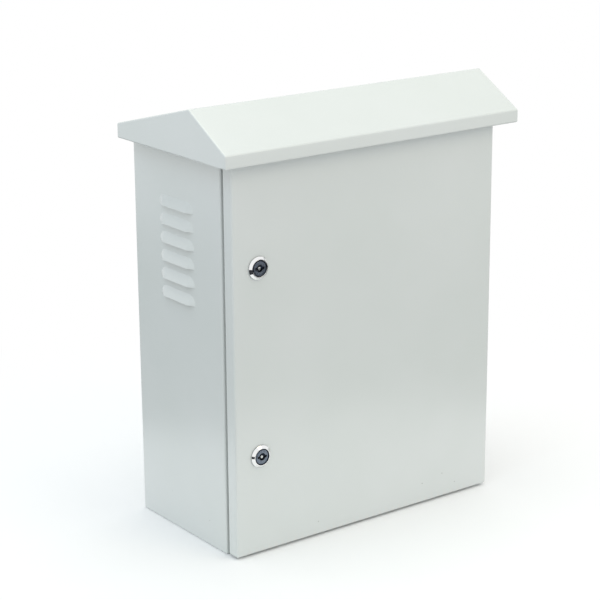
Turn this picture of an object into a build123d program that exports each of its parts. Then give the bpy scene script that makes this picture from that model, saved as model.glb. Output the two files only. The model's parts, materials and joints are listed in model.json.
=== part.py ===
from build123d import *
import math
import os

# Roadside utility cabinet of folded, welded and powder-coated steel sheet, in millimetres.
# X runs across the front, Y runs from front to back, Z is up. The origin is the middle of the
# overall box on the ground, and the door opens about a vertical pin on the right-hand side.

# Sheet metal
sheet = 1.2
bend = 1.2
outer_bend = bend + sheet

# How far a cutting shape runs past the face that it cuts
cut_margin = 1.0
through_sheet = sheet + 2 * cut_margin

# Body
body_width = 400.0
body_height = 500.0
body_depth = 187.0

# Door
door_gap = 5.0
door_depth = 18.0
door_bottom_clearance = 3.0
door_top_clearance = 15.0
door_inner_lip = 8.0
door_corner = 2.0

# Rain lip around the opening, and the seal that it presses on
lip_height = 14.0
free_rim = 18.0
hinge_rim = 20.0
level_rim = 15.0
lip_corner = 3.0
gasket_width = 8.0
gasket_clearance = 0.3

# Roof
roof_front_overhang = 21.0
roof_side_overhang = 22.0
roof_rear_setback = 0.0
roof_skirt_drop = 11.5
front_fascia = 16.0
rear_fascia = 18.2
ridge_rise = 47.0
ridge_setback = 73.4
roof_lip = 8.0
roof_bend = 3.0
roof_edge = 2.0
gable_step = 0.9
roof_body_clearance = 0.5

# Louvres
louvre_count = 6
louvre_pitch = 22.7
louvre_length = 75.0
louvre_height = 13.0
louvre_bulge = 5.0
louvre_crest = 1.0
louvre_top_edge = 428.0

# Wall fixing holes
wall_hole_radius = 4.5
wall_hole_span_x = 350.0
wall_hole_span_z = 450.0

# Hinges
hinge_axis_inset = 7.5
hinge_axis_setback = 10.5
hinge_end_distance = 75.0
hinge_height = 44.0
hinge_leaf = 2.0
eye_radius = 4.0
eye_height = 16.0
eye_gap = 0.3
pin_radius = 2.5
pin_clearance = 0.06
pin_head_radius = 3.8
pin_head_height = 1.6
frame_leaf_left = 8.5
frame_leaf_right = 2.5
door_leaf_running_gap = 0.3
door_leaf_front_gap = 0.8
door_leaf_rear = 2.0
notch_margin = 2.0
notch_behind_axis = 1.5
hinge_screw_radius = 2.0
hinge_screw_hole = 2.15
hinge_screw_head = 4.0
hinge_screw_span = 28.0
hinge_screw_length = 9.0
hinge_nut_flats = 7.0
hinge_nut_height = 3.2

# Quarter-turn locks
lock_edge_distance = 36.0
lock_spacing = 234.0
lock_head_radius = 14.0
lock_face_radius = 10.9
lock_head_height = 3.2
lock_head_land = 0.6
lock_seal = 0.8
lock_seal_radius = 13.4
lock_barrel_radius = 10.0
lock_barrel_flats = 18.0
lock_hole_clearance = 0.15
lock_barrel_end_gap = 0.8
lock_nut_flats = 25.0
lock_nut_height = 5.0
rotor_disc_radius = 10.2
rotor_disc_thickness = 2.4
rotor_disc_recess = 0.3
rotor_radius = 7.5
rotor_clearance = 0.06
rotor_groove_inner = 7.7
rotor_groove_outer = 8.9
rotor_groove_depth = 0.5
key_hole_radius = 4.6
key_hole_depth = 7.0
key_wing_width = 3.0
key_wing_reach = 6.7
key_post_radius = 1.9
key_post_recess = 0.6
key_post_seat = 2.0
cam_square = 8.0
cam_square_clearance = 0.1
cam_thickness = 3.0
cam_width = 16.0
cam_reach = 30.0
cam_rim_clearance = 1.5
cam_screw_radius = 2.5
cam_screw_depth = 10.0
cam_screw_end_gap = 1.0
cam_washer_radius = 6.5
cam_washer_thickness = 1.2
cam_screw_flats = 8.0
cam_screw_head = 3.5

# Door stiffener
stiffener_crown = 24.0
stiffener_flange = 10.0
stiffener_height = 11.0
stiffener_end_gap = 40.0
stiffener_hole_radius = 3.0
stiffener_hole_pitch = 25.0

# Equipment plate and the studs that carry it
plate_thickness = 1.5
plate_width = 320.0
plate_height = 420.0
plate_flange = 10.0
plate_standoff = 18.0
plate_stud_inset = 15.0
plate_stud_radius = 4.0
plate_stud_length = 32.0
plate_hole_clearance = 0.5
plate_spacer_radius = 7.0
plate_washer_radius = 8.0
plate_washer_thickness = 1.6
plate_nut_flats = 13.0
plate_nut_height = 6.5
thread_clearance = 0.05

# Cable entry plate in the floor
gland_cut_width = 220.0
gland_cut_depth = 110.0
gland_overlap = 15.0
gland_rear_distance = 45.0
gland_corner = 5.0
gland_seal = 2.0
gland_plate_thickness = 1.5
gland_stud_radius = 2.5
gland_stud_length = 12.0
gland_hole_clearance = 0.3
gland_nut_flats = 8.0
gland_nut_height = 4.0
gland_washer_radius = 5.0
gland_washer_thickness = 1.0

# Roof ribs and their bolts
rib_thickness = 1.5
rib_offset = 150.0
rib_flange = 20.0
rib_rear_gap = 8.0
rib_front_gap = 6.5
rib_ridge_relief = 4.0
rib_bolt_end_distance = 22.0
roof_bolt_radius = 3.0
roof_bolt_hole_clearance = 0.3
roof_bolt_length = 12.0
roof_bolt_flats = 10.0
roof_bolt_head = 4.0
roof_nut_height = 5.0
roof_seal_radius = 8.0
roof_seal_thickness = 1.5

# Earth studs
earth_stud_radius = 3.0
earth_stud_length = 20.0
earth_from_side = 25.0
earth_height = 62.0
door_earth_x = -60.0
door_earth_height = 42.0
earth_washer_radius = 6.0
earth_washer_thickness = 1.6
earth_nut_flats = 10.0
earth_nut_height = 5.0

# Planes and lines that several pieces share
half_width = body_width / 2
overall_depth = body_depth + door_gap + door_depth + roof_front_overhang
back_y = overall_depth / 2
back_inner_y = back_y - sheet
rim_y = back_y - body_depth
rim_inner_y = rim_y + sheet
door_rear_y = rim_y - door_gap
door_front_y = door_rear_y - door_depth
door_inner_y = door_front_y + sheet
lip_y = rim_y - lip_height
door_bottom = door_bottom_clearance
door_top = body_height - door_top_clearance
door_middle = (door_bottom + door_top) / 2
lip_left = -half_width + free_rim
lip_right = half_width - hinge_rim
lip_bottom = door_bottom + level_rim
lip_top = door_top - level_rim
roof_front_y = -overall_depth / 2
roof_rear_y = back_y - roof_rear_setback
roof_half_width = half_width + roof_side_overhang
skirt_z = body_height - roof_skirt_drop
ridge_y = roof_front_y + ridge_setback
ridge_z = body_height + ridge_rise
front_eave_z = skirt_z + front_fascia
rear_eave_z = skirt_z + rear_fascia
hinge_x = half_width - hinge_axis_inset
hinge_y = door_front_y + hinge_axis_setback
hinge_levels = {
    "upper": door_top - hinge_end_distance,
    "lower": door_bottom + hinge_end_distance,
}
lock_x = -half_width + lock_edge_distance
lock_levels = {
    "upper": door_middle + lock_spacing / 2,
    "lower": door_middle - lock_spacing / 2,
}
cam_front_y = rim_inner_y + cam_rim_clearance
cam_rear_y = cam_front_y + cam_thickness

LEFT = (-1, 0, 0)
FORWARD = (0, -1, 0)
BACKWARD = (0, 1, 0)
UP = (0, 0, 1)
DOWN = (0, 0, -1)


def block(x, y, z):
    """Box between the two ends given for each axis."""
    middle = [(low + high) / 2 for low, high in (x, y, z)]
    size = [high - low for low, high in (x, y, z)]
    return Pos(*middle) * Box(*size)


def at(x, y, z, direction, across=None):
    """Location whose own Z runs along direction, with its own X along across."""
    return Plane(origin=(x, y, z), x_dir=across, z_dir=direction).location


def rod(radius, length):
    return extrude(Circle(radius), length)


def ring(outer, inner, length):
    return extrude(Circle(outer) - Circle(inner), length)


def hexagon(flats):
    return RegularPolygon(flats / 2, 6, major_radius=False)


def hex_nut(flats, hole, height):
    return extrude(hexagon(flats) - Circle(hole), height)


def hex_bolt(radius, length, flats, head):
    """Bolt whose shank runs up from its own origin, with its head below."""
    return rod(radius, length) + extrude(hexagon(flats), -head)


def group(shapes):
    """Several separate solids of one kind, kept as one node."""
    return Compound([solid for shape in shapes for solid in shape.solids()])


def rounded_block(x, y, z, radius):
    box = block(x, y, z)
    return fillet(box.edges(), radius)


def level_rectangle(left, right, bottom, top, corner, y):
    """Upright rectangle with round corners in the plane at y, seen from the front."""
    plane = Plane(origin=((left + right) / 2, y, (bottom + top) / 2), x_dir=(1, 0, 0), z_dir=FORWARD)
    return plane * RectangleRounded(right - left, top - bottom, corner)


def upright_ring(inset, width, corner, near_y, far_y):
    """Frame around the opening, inset from the lip's outer face and running forward from near_y."""
    edges = (lip_left + inset, lip_right - inset, lip_bottom + inset, lip_top - inset)
    hole = (edges[0] + width, edges[1] - width, edges[2] + width, edges[3] - width)
    outside = level_rectangle(*edges, corner, near_y)
    inside = level_rectangle(*hole, max(corner - width, 0.5), near_y)
    return extrude(outside - inside, near_y - far_y)


def louvre_hood(base):
    """Half-stadium hood over a slot at Z = 0 in the plane X = 0, reaching down to X = base."""
    slope = (louvre_height - louvre_crest) / louvre_bulge
    foot = louvre_height + base * slope
    straight = louvre_length - 2 * louvre_height
    section = Polyline(
        (base, 0), (base, foot), (-louvre_bulge, louvre_crest), (-louvre_bulge, 0), close=True
    )
    hood = Pos(0, straight / 2, 0) * extrude(Plane.XZ * make_face(section), straight, dir=(0, -1, 0))
    height = louvre_bulge + base
    for side in (-1, 1):
        end = at(base, side * straight / 2, 0, LEFT) * Pos(0, 0, height / 2)
        hood = hood + end * Cone(foot, louvre_crest, height)
    reach = louvre_length
    return hood & block((-reach, reach), (-reach, reach), (0, reach))


def louvred(body):
    """Body with its louvres pressed into both side walls."""
    slope = math.atan2(louvre_bulge, louvre_height - louvre_crest)
    hood = louvre_hood(0)
    hollow = Pos(sheet / math.cos(slope), 0, 0) * louvre_hood(0)
    middle_y = (rim_y + back_y) / 2
    places = [
        Pos(-half_width, middle_y, louvre_top_edge - louvre_height - number * louvre_pitch)
        for number in range(louvre_count)
    ]
    hoods = [place * hood for place in places]
    hollows = [place * hollow for place in places]
    hoods += [mirror(shape, about=Plane.YZ) for shape in hoods]
    hollows += [mirror(shape, about=Plane.YZ) for shape in hollows]
    return (body + hoods) - hollows


def corners(span_a, span_b):
    """The four corners of a rectangle about the origin."""
    return [(a * span_a / 2, b * span_b / 2) for a in (-1, 1) for b in (-1, 1)]


def gland_stud_places():
    """Eight stud places around the cable entry: the corners and the middle of each side."""
    span_x = gland_cut_width + gland_overlap
    span_y = gland_cut_depth + gland_overlap
    middles = [(-span_x / 2, 0), (span_x / 2, 0), (0, -span_y / 2), (0, span_y / 2)]
    return [(x, gland_y + y) for x, y in corners(span_x, span_y) + middles]


gland_y = back_y - gland_rear_distance - gland_cut_depth / 2


def roof_bolt_places():
    """Two bolts through the foot of each rib."""
    front = rim_y + rib_front_gap + rib_bolt_end_distance
    rear = roof_rear_y - rib_rear_gap - rib_bolt_end_distance
    foot = rib_offset - rib_flange / 2
    return [(side * foot, y) for side in (-1, 1) for y in (front, rear)]


def hinge_screw_places():
    """Screw heights and the screw line of both frame leaves."""
    levels = [z + side * hinge_screw_span / 2 for z in hinge_levels.values() for side in (-1, 1)]
    screw_x = hinge_x - frame_leaf_left + (frame_leaf_left + frame_leaf_right) / 2
    return [(screw_x, z) for z in levels]


def cabinet_body():
    """Welded shell: five walls, the front rim with its rain lip, louvres and fixing holes."""
    sides = (-half_width, half_width)
    outside = rounded_block(sides, (rim_y, back_y), (0, body_height), outer_bend)
    inside = rounded_block(
        (sides[0] + sheet, sides[1] - sheet),
        (rim_y + sheet, back_y - sheet),
        (sheet, body_height - sheet),
        bend,
    )
    body = outside - inside
    opening = level_rectangle(
        lip_left + sheet,
        lip_right - sheet,
        lip_bottom + sheet,
        lip_top - sheet,
        lip_corner - sheet,
        rim_inner_y + cut_margin,
    )
    body = body - extrude(opening, 2 * (sheet + cut_margin))
    body = body + upright_ring(0, sheet, lip_corner, rim_inner_y, lip_y)
    gutter = [e for e in body.edges() if abs(e.center().Y - rim_y) < 0.01 and on_lip(e, 0)]
    body = fillet(gutter, bend)
    inner_fold = [
        e for e in body.edges() if abs(e.center().Y - rim_inner_y) < 0.01 and on_lip(e, sheet)
    ]
    body = fillet(inner_fold, outer_bend)
    body = louvred(body)
    for x, z in corners(wall_hole_span_x, wall_hole_span_z):
        hole = rod(wall_hole_radius, through_sheet)
        body = body - at(x, back_y + cut_margin, z + body_height / 2, FORWARD) * hole
    cut = Pos(0, gland_y, -cut_margin) * extrude(
        RectangleRounded(gland_cut_width, gland_cut_depth, gland_corner), through_sheet
    )
    body = body - cut
    hole_radius = roof_bolt_radius + roof_bolt_hole_clearance
    for x, y in roof_bolt_places():
        body = body - Pos(x, y, body_height - sheet - cut_margin) * rod(hole_radius, through_sheet)
    for x, z in hinge_screw_places():
        body = body - at(x, rim_inner_y + cut_margin, z, FORWARD) * rod(hinge_screw_hole, through_sheet)
    return body


def on_lip(edge, inset):
    """Whether an edge lies on the rectangle of the lip's outer face, inset by a distance."""
    box = edge.bounding_box()
    left, right = lip_left + inset, lip_right - inset
    bottom, top = lip_bottom + inset, lip_top - inset
    near = 0.01
    if box.min.X < left - near or box.max.X > right + near:
        return False
    if box.min.Z < bottom - near or box.max.Z > top + near:
        return False
    reach = lip_corner
    deep_inside = (
        box.min.X > left + reach
        and box.max.X < right - reach
        and box.min.Z > bottom + reach
        and box.max.Z < top - reach
    )
    return not deep_inside


def roof_outline(inset):
    """Gable outline in the YZ plane, with its level bottom edge, inset by a distance."""
    corner_points = [
        (roof_rear_y, skirt_z),
        (roof_rear_y, rear_eave_z),
        (ridge_y, ridge_z),
        (roof_front_y, front_eave_z),
        (roof_front_y, skirt_z),
    ]
    face = make_face(Polyline(*corner_points, close=True))
    if inset:
        face = offset(face, -inset, kind=Kind.INTERSECTION)
    return Plane.YZ * face


def roof_prism(inset, radius, edge_radius):
    """Solid under the roof's skin, with its ridge and eaves bent and its gable edges rounded."""
    length = 2 * (roof_half_width - inset)
    solid = Pos(-length / 2, 0, 0) * extrude(roof_outline(inset), length, dir=(1, 0, 0))
    folds = [e for e in solid.edges().filter_by(Axis.X) if e.center().Z > skirt_z + 2 * sheet]
    solid = fillet(folds, radius)
    end_edges = [e for e in solid.edges() if abs(abs(e.center().X) - length / 2) < 0.01]
    upright = [e for e in end_edges if e.center().Z > skirt_z + inset + 0.01]
    return fillet(upright, edge_radius)


def roof_canopy():
    """Folded roof with welded gables, open underneath, with an in-turned lip along its skirt."""
    roof = roof_prism(0, roof_bend, roof_edge) - roof_prism(
        sheet, roof_bend - sheet, roof_edge - sheet
    )
    hole_x = roof_half_width - roof_lip
    mouth = block(
        (-hole_x, hole_x),
        (roof_front_y + roof_lip, roof_rear_y - roof_lip),
        (skirt_z - cut_margin, skirt_z + sheet + cut_margin),
    )
    roof = roof - mouth
    body_x = half_width + roof_body_clearance
    over_body = block(
        (-body_x, body_x),
        (rim_y - roof_body_clearance, back_y + cut_margin),
        (skirt_z - cut_margin, body_height),
    )
    roof = roof - over_body
    levels = (skirt_z - cut_margin, skirt_z + sheet + cut_margin)
    for side in (-1, 1):
        ends = sorted((side * hole_x, side * (roof_half_width - sheet)))
        step = block(ends, (roof_front_y + roof_lip, rim_y), levels)
        skirt = sorted((side * (roof_half_width - 2 * sheet), side * (roof_half_width + cut_margin)))
        trim = block(skirt, (roof_front_y + roof_lip, rim_y), (skirt_z - cut_margin, skirt_z + gable_step))
        roof = roof - step - trim
    return roof


def roof_underside(y):
    """Height of the roof's inner face over a place between the eaves."""
    if y > ridge_y:
        run, rise, start = roof_rear_y - ridge_y, ridge_z - rear_eave_z, roof_rear_y - y
        eave = rear_eave_z
    else:
        run, rise, start = ridge_y - roof_front_y, ridge_z - front_eave_z, y - roof_front_y
        eave = front_eave_z
    slope = math.atan2(rise, run)
    return eave + start * math.tan(slope) - sheet / math.cos(slope)


def roof_rib(side):
    """Gusset that stands on the body's top and carries both slopes of the roof."""
    front_y = rim_y + rib_front_gap
    rear_y = roof_rear_y - rib_rear_gap
    web = Polyline(
        (front_y, body_height),
        (front_y, roof_underside(front_y)),
        (ridge_y - rib_ridge_relief, roof_underside(ridge_y - rib_ridge_relief)),
        (ridge_y + rib_ridge_relief, roof_underside(ridge_y + rib_ridge_relief)),
        (rear_y, roof_underside(rear_y)),
        (rear_y, body_height),
        close=True,
    )
    start_x = rib_offset - rib_thickness
    plate = Pos(start_x, 0, 0) * extrude(Plane.YZ * make_face(web), rib_thickness, dir=(1, 0, 0))
    foot = block(
        (rib_offset - rib_flange, rib_offset),
        (front_y, rear_y),
        (body_height, body_height + rib_thickness),
    )
    rib = plate + foot
    for x, y in roof_bolt_places():
        if x > 0:
            hole = rod(roof_bolt_radius + roof_bolt_hole_clearance, rib_thickness + 2 * cut_margin)
            rib = rib - Pos(x, y, body_height - cut_margin) * hole
    return rib if side > 0 else mirror(rib, about=Plane.YZ)


def roof_bolts():
    head_z = body_height - sheet - roof_seal_thickness
    bolt = hex_bolt(roof_bolt_radius, roof_bolt_length, roof_bolt_flats, roof_bolt_head)
    return group(Pos(x, y, head_z) * bolt for x, y in roof_bolt_places())


def roof_bolt_seals():
    seal_z = body_height - sheet - roof_seal_thickness
    hole = roof_bolt_radius + thread_clearance
    seal = ring(roof_seal_radius, hole, roof_seal_thickness)
    return group(Pos(x, y, seal_z) * seal for x, y in roof_bolt_places())


def roof_bolt_nuts():
    nut = hex_nut(roof_bolt_flats, roof_bolt_radius + thread_clearance, roof_nut_height)
    return group(Pos(x, y, body_height + rib_thickness) * nut for x, y in roof_bolt_places())


def plate_stud_places():
    spans = (plate_width - 2 * plate_stud_inset, plate_height - 2 * plate_stud_inset)
    return [(x, z + body_height / 2) for x, z in corners(*spans)]


def mounting_plate():
    """Galvanised equipment plate with its two upright edges folded back."""
    rear = back_inner_y - plate_standoff
    front = rear - plate_thickness
    half = plate_width / 2
    levels = ((body_height - plate_height) / 2, (body_height + plate_height) / 2)
    plate = block((-half, half), (front, rear), levels)
    for side in (-1, 1):
        ends = sorted((side * half, side * (half - plate_thickness)))
        plate = plate + block(ends, (front, front + plate_flange), levels)
    folds = [
        e
        for e in plate.edges().filter_by(Axis.Z)
        if abs(e.center().Y - front) < 0.01 and abs(abs(e.center().X) - half) < 0.01
    ]
    plate = fillet(folds, plate_thickness)
    for x, z in plate_stud_places():
        hole = rod(plate_stud_radius + plate_hole_clearance, plate_thickness + 2 * cut_margin)
        plate = plate - at(x, rear + cut_margin, z, FORWARD) * hole
    return plate


def on_plate_studs(shape, y):
    """One copy of a shape on each of the plate's studs, starting at y and running forward."""
    return group(at(x, y, z, FORWARD) * shape for x, z in plate_stud_places())


def mounting_studs():
    return on_plate_studs(rod(plate_stud_radius, plate_stud_length), back_inner_y)


def mounting_spacers():
    spacer = ring(plate_spacer_radius, plate_stud_radius + thread_clearance, plate_standoff)
    return on_plate_studs(spacer, back_inner_y)


def mounting_washers():
    washer = ring(plate_washer_radius, plate_stud_radius + thread_clearance, plate_washer_thickness)
    return on_plate_studs(washer, back_inner_y - plate_standoff - plate_thickness)


def mounting_nuts():
    nut = hex_nut(plate_nut_flats, plate_stud_radius + thread_clearance, plate_nut_height)
    seat = back_inner_y - plate_standoff - plate_thickness - plate_washer_thickness
    return on_plate_studs(nut, seat)


def gland_layer(thickness, has_window):
    """Flat layer of the cable entry, with stud holes and, on the seal, a window."""
    width = gland_cut_width + 2 * gland_overlap
    depth = gland_cut_depth + 2 * gland_overlap
    outline = RectangleRounded(width, depth, gland_corner)
    if has_window:
        outline = outline - RectangleRounded(gland_cut_width, gland_cut_depth, gland_corner)
    layer = Pos(0, gland_y, 0) * extrude(outline, thickness)
    hole = rod(gland_stud_radius + gland_hole_clearance, thickness + 2 * cut_margin)
    for x, y in gland_stud_places():
        layer = layer - Pos(x, y, -cut_margin) * hole
    return layer


def gland_plate_seal():
    return Pos(0, 0, sheet) * gland_layer(gland_seal, True)


def gland_plate():
    return Pos(0, 0, sheet + gland_seal) * gland_layer(gland_plate_thickness, False)


def gland_plate_studs():
    return group(
        Pos(x, y, sheet) * rod(gland_stud_radius, gland_stud_length) for x, y in gland_stud_places()
    )


def gland_plate_washers():
    base = sheet + gland_seal + gland_plate_thickness
    washer = ring(gland_washer_radius, gland_stud_radius + thread_clearance, gland_washer_thickness)
    return group(Pos(x, y, base) * washer for x, y in gland_stud_places())


def gland_plate_nuts():
    base = sheet + gland_seal + gland_plate_thickness + gland_washer_thickness
    nut = hex_nut(gland_nut_flats, gland_stud_radius + thread_clearance, gland_nut_height)
    return group(Pos(x, y, base) * nut for x, y in gland_stud_places())


def earth_set(x, y, z, direction):
    """Earth stud with a washer and a nut, each as its own shape."""
    hole = earth_stud_radius + thread_clearance
    stud = rod(earth_stud_radius, earth_stud_length)
    washer = ring(earth_washer_radius, hole, earth_washer_thickness)
    nut = Pos(0, 0, earth_washer_thickness) * hex_nut(earth_nut_flats, hole, earth_nut_height)
    place = at(x, y, z, direction)
    return place * stud, place * washer, place * nut


def hinge_eye(low, high, hole):
    """Rolled eye around the pin between two heights, measured from the hinge's middle."""
    return Pos(hinge_x, hinge_y, low) * ring(eye_radius, hole, high - low)


def frame_leaf(z):
    """Fixed half: a plate in the gutter, an arm forward and one eye around the pin."""
    half = hinge_height / 2
    eye = eye_height / 2
    left = hinge_x - frame_leaf_left
    right = hinge_x + frame_leaf_right
    plate = block((left, right), (rim_y - hinge_leaf, rim_y), (-half, half))
    arm_left = hinge_x - eye_radius
    arm = block((arm_left, arm_left + hinge_leaf), (hinge_y, rim_y - hinge_leaf), (-eye, eye))
    bore = Pos(hinge_x, hinge_y, -half) * rod(pin_radius + pin_clearance, hinge_height)
    leaf = plate + (arm - bore) + hinge_eye(-eye, eye, pin_radius + pin_clearance)
    screw_x = (left + right) / 2
    for side in (-1, 1):
        level = side * hinge_screw_span / 2
        shaft = rod(hinge_screw_hole, hinge_leaf + 2 * cut_margin)
        hole = at(screw_x, rim_y + cut_margin, level, FORWARD) * shaft
        sink = at(screw_x, rim_y, level, FORWARD) * countersink(hinge_screw_hole)
        leaf = leaf - hole - sink
    return Pos(0, 0, z) * leaf


def countersink(small_radius):
    """Cone that opens from small_radius to the head's radius at the leaf's front face."""
    return Pos(0, 0, hinge_leaf / 2) * Cone(small_radius, hinge_screw_head, hinge_leaf)


def hinge_screws():
    head = Pos(0, 0, hinge_leaf / 2) * Cone(
        hinge_screw_radius, hinge_screw_head - hinge_screw_hole + hinge_screw_radius, hinge_leaf
    )
    shank = rod(hinge_screw_radius, -(hinge_screw_length - hinge_leaf))
    return group(at(x, rim_y, z, FORWARD) * (head + shank) for x, z in hinge_screw_places())


def hinge_nuts():
    nut = hex_nut(hinge_nut_flats, hinge_screw_radius + thread_clearance, hinge_nut_height)
    return group(at(x, rim_inner_y, z, BACKWARD) * nut for x, z in hinge_screw_places())


def door_leaf(z):
    """Moving half: a plate on the door's return and two eyes, one above and one below."""
    half = hinge_height / 2
    start = eye_height / 2 + eye_gap
    plate_right = half_width - sheet
    plate_left = hinge_x + eye_radius + door_leaf_running_gap
    front = door_inner_y + door_leaf_front_gap
    rear = hinge_y - door_leaf_rear
    leaf = block((plate_left, plate_right), (front, rear), (-half, half))
    for low, high in ((-half, -start), (start, half)):
        arm = block(
            (hinge_x, plate_left), (hinge_y - eye_radius, hinge_y - eye_radius + hinge_leaf), (low, high)
        )
        bore = Pos(hinge_x, hinge_y, low) * rod(pin_radius + pin_clearance, high - low)
        leaf = leaf + (arm - bore) + hinge_eye(low, high, pin_radius + pin_clearance)
    return Pos(0, 0, z) * leaf


def hinge_pin(z):
    """Loose pin with a flat head resting on the top eye."""
    half = hinge_height / 2
    shank = Pos(hinge_x, hinge_y, z - half) * rod(pin_radius, hinge_height)
    head = Pos(hinge_x, hinge_y, z + half) * rod(pin_head_radius, pin_head_height)
    return shank + head


def double_flat(radius, flats):
    """Circle with two flats, left and right."""
    return Circle(radius) & Rectangle(flats, 4 * radius)


def lock_place(z, y):
    """Location on a lock's axis, running forward, with its own X across the door."""
    return at(lock_x, y, z, FORWARD, (1, 0, 0))


def door_panel():
    """Door tray: its edges fold back, and in again on the free side, the top and the bottom."""
    sides = (-half_width, half_width)
    levels = (door_bottom, door_top)
    box = block(sides, (door_front_y, door_rear_y), levels)
    front = [e for e in box.edges() if abs(e.center().Y - door_front_y) < 0.01]
    rear = [
        e
        for e in box.edges()
        if abs(e.center().Y - door_rear_y) < 0.01 and e.center().X < half_width - 0.01
    ]
    tray = fillet(front + rear, outer_bend)
    tray = fillet(tray.edges().filter_by(Axis.Y), door_corner)
    cavity = rounded_block(
        (sides[0] + sheet, sides[1] - sheet),
        (door_inner_y, door_rear_y - sheet),
        (levels[0] + sheet, levels[1] - sheet),
        bend / 2,
    )
    mouth = block(
        (sides[0] + door_inner_lip, sides[1] - sheet),
        (door_rear_y - sheet - cut_margin, door_rear_y + cut_margin),
        (levels[0] + door_inner_lip, levels[1] - door_inner_lip),
    )
    tray = tray - cavity - mouth
    for z in hinge_levels.values():
        half = hinge_height / 2 + notch_margin
        notch = block(
            (half_width - 2 * outer_bend, half_width + cut_margin),
            (hinge_y - notch_behind_axis, door_rear_y + cut_margin),
            (z - half, z + half),
        )
        tray = tray - notch
    hole = double_flat(
        lock_barrel_radius + lock_hole_clearance, lock_barrel_flats + 2 * lock_hole_clearance
    )
    for z in lock_levels.values():
        tray = tray - lock_place(z, door_inner_y + cut_margin) * extrude(hole, through_sheet)
    return tray


def door_gasket():
    """Foamed seal on the door's inner face, opposite the edge of the rain lip."""
    inset = sheet / 2 - gasket_width / 2
    top = lip_y - gasket_clearance
    seal = upright_ring(inset, gasket_width, lip_corner + gasket_width / 2, top, door_inner_y)
    crown = [e for e in seal.edges() if abs(e.center().Y - top) < 0.01]
    return fillet(crown, gasket_width / 4)


def door_stiffener():
    """Perforated hat rail welded down the middle of the door's inner face."""
    low = door_bottom + stiffener_end_gap
    high = door_top - stiffener_end_gap
    top = door_inner_y + stiffener_height
    half = stiffener_crown / 2
    reach = half + stiffener_flange
    path = Polyline(
        (-reach, door_inner_y),
        (-half, door_inner_y),
        (-half, top),
        (half, top),
        (half, door_inner_y),
        (reach, door_inner_y),
    )
    inner = Polyline(
        (reach, door_inner_y + sheet),
        (half + sheet, door_inner_y + sheet),
        (half + sheet, top + sheet),
        (-half - sheet, top + sheet),
        (-half - sheet, door_inner_y + sheet),
        (-reach, door_inner_y + sheet),
    )
    ends = [
        Line((reach, door_inner_y), (reach, door_inner_y + sheet)),
        Line((-reach, door_inner_y + sheet), (-reach, door_inner_y)),
    ]
    section = make_face([*path.edges(), *inner.edges(), *ends])
    rail = Pos(0, 0, low) * extrude(section, high - low)
    count = int((high - low) // stiffener_hole_pitch)
    start = (low + high) / 2 - (count - 1) * stiffener_hole_pitch / 2
    for number in range(count):
        z = start + number * stiffener_hole_pitch
        hole = rod(stiffener_hole_radius, through_sheet)
        rail = rail - at(0, top + sheet + cut_margin, z, FORWARD) * hole
    return rail


def lock_housing(z):
    """Chromed body of a lock: a bevelled head, and a barrel with two flats through the door."""
    seat = door_front_y - lock_seal
    face = seat - lock_head_height
    rear = cam_front_y - lock_barrel_end_gap
    land = rod(lock_head_radius, lock_head_land)
    bevel_height = lock_head_height - lock_head_land
    bevel = Pos(0, 0, lock_head_land + bevel_height / 2) * Cone(
        lock_head_radius, lock_face_radius, bevel_height
    )
    barrel = extrude(double_flat(lock_barrel_radius, lock_barrel_flats), -(rear - seat))
    housing = land + bevel + barrel
    bore = rod(rotor_radius + rotor_clearance, rear - face + 2 * cut_margin)
    bore = Pos(0, 0, -(rear - seat) - cut_margin) * bore
    pocket_depth = rotor_disc_thickness + rotor_disc_recess
    pocket = Pos(0, 0, lock_head_height - pocket_depth) * rod(
        rotor_disc_radius + rotor_clearance, pocket_depth + cut_margin
    )
    return lock_place(z, seat) * (housing - bore - pocket)


def lock_seal_washer(z):
    hole = double_flat(
        lock_barrel_radius + lock_hole_clearance, lock_barrel_flats + 2 * lock_hole_clearance
    )
    return lock_place(z, door_front_y) * extrude(Circle(lock_seal_radius) - hole, lock_seal)


def lock_nut(z):
    nut = hex_nut(lock_nut_flats, lock_barrel_radius + thread_clearance, lock_nut_height)
    return at(lock_x, door_inner_y, z, BACKWARD, (0, 0, 1)) * nut


def key_recess():
    """Round key hole with a wing to each side."""
    return Circle(key_hole_radius) + Rectangle(2 * key_wing_reach, key_wing_width)


def lock_rotor(z):
    """Turning plug of a lock: a dark disc with the key hole, a shaft and a square for the cam."""
    face = door_front_y - lock_seal - lock_head_height + rotor_disc_recess
    shaft_length = cam_front_y - face - rotor_disc_thickness
    disc = rod(rotor_disc_radius, -rotor_disc_thickness)
    groove = ring(rotor_groove_outer, rotor_groove_inner, -rotor_groove_depth)
    shaft = Pos(0, 0, -rotor_disc_thickness) * rod(rotor_radius, -shaft_length)
    square_side = cam_square - 2 * cam_square_clearance
    square = Pos(0, 0, -rotor_disc_thickness - shaft_length) * extrude(
        Rectangle(square_side, square_side), -cam_thickness
    )
    plug = disc - groove + shaft + square
    plug = plug - extrude(key_recess(), -key_hole_depth)
    plug = plug - Pos(0, 0, -key_hole_depth) * rod(key_post_radius, -key_post_seat)
    end = -rotor_disc_thickness - shaft_length - cam_thickness
    plug = plug - Pos(0, 0, end) * rod(cam_screw_radius + thread_clearance, cam_screw_depth)
    return lock_place(z, face) * plug


def key_post(z):
    """Steel post in the middle of the key hole, pressed into the rotor."""
    face = door_front_y - lock_seal - lock_head_height + rotor_disc_recess
    length = key_hole_depth + key_post_seat - key_post_recess
    tip = Pos(0, 0, -key_post_recess)
    post = tip * rod(key_post_radius, -length)
    return lock_place(z, face) * post


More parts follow.
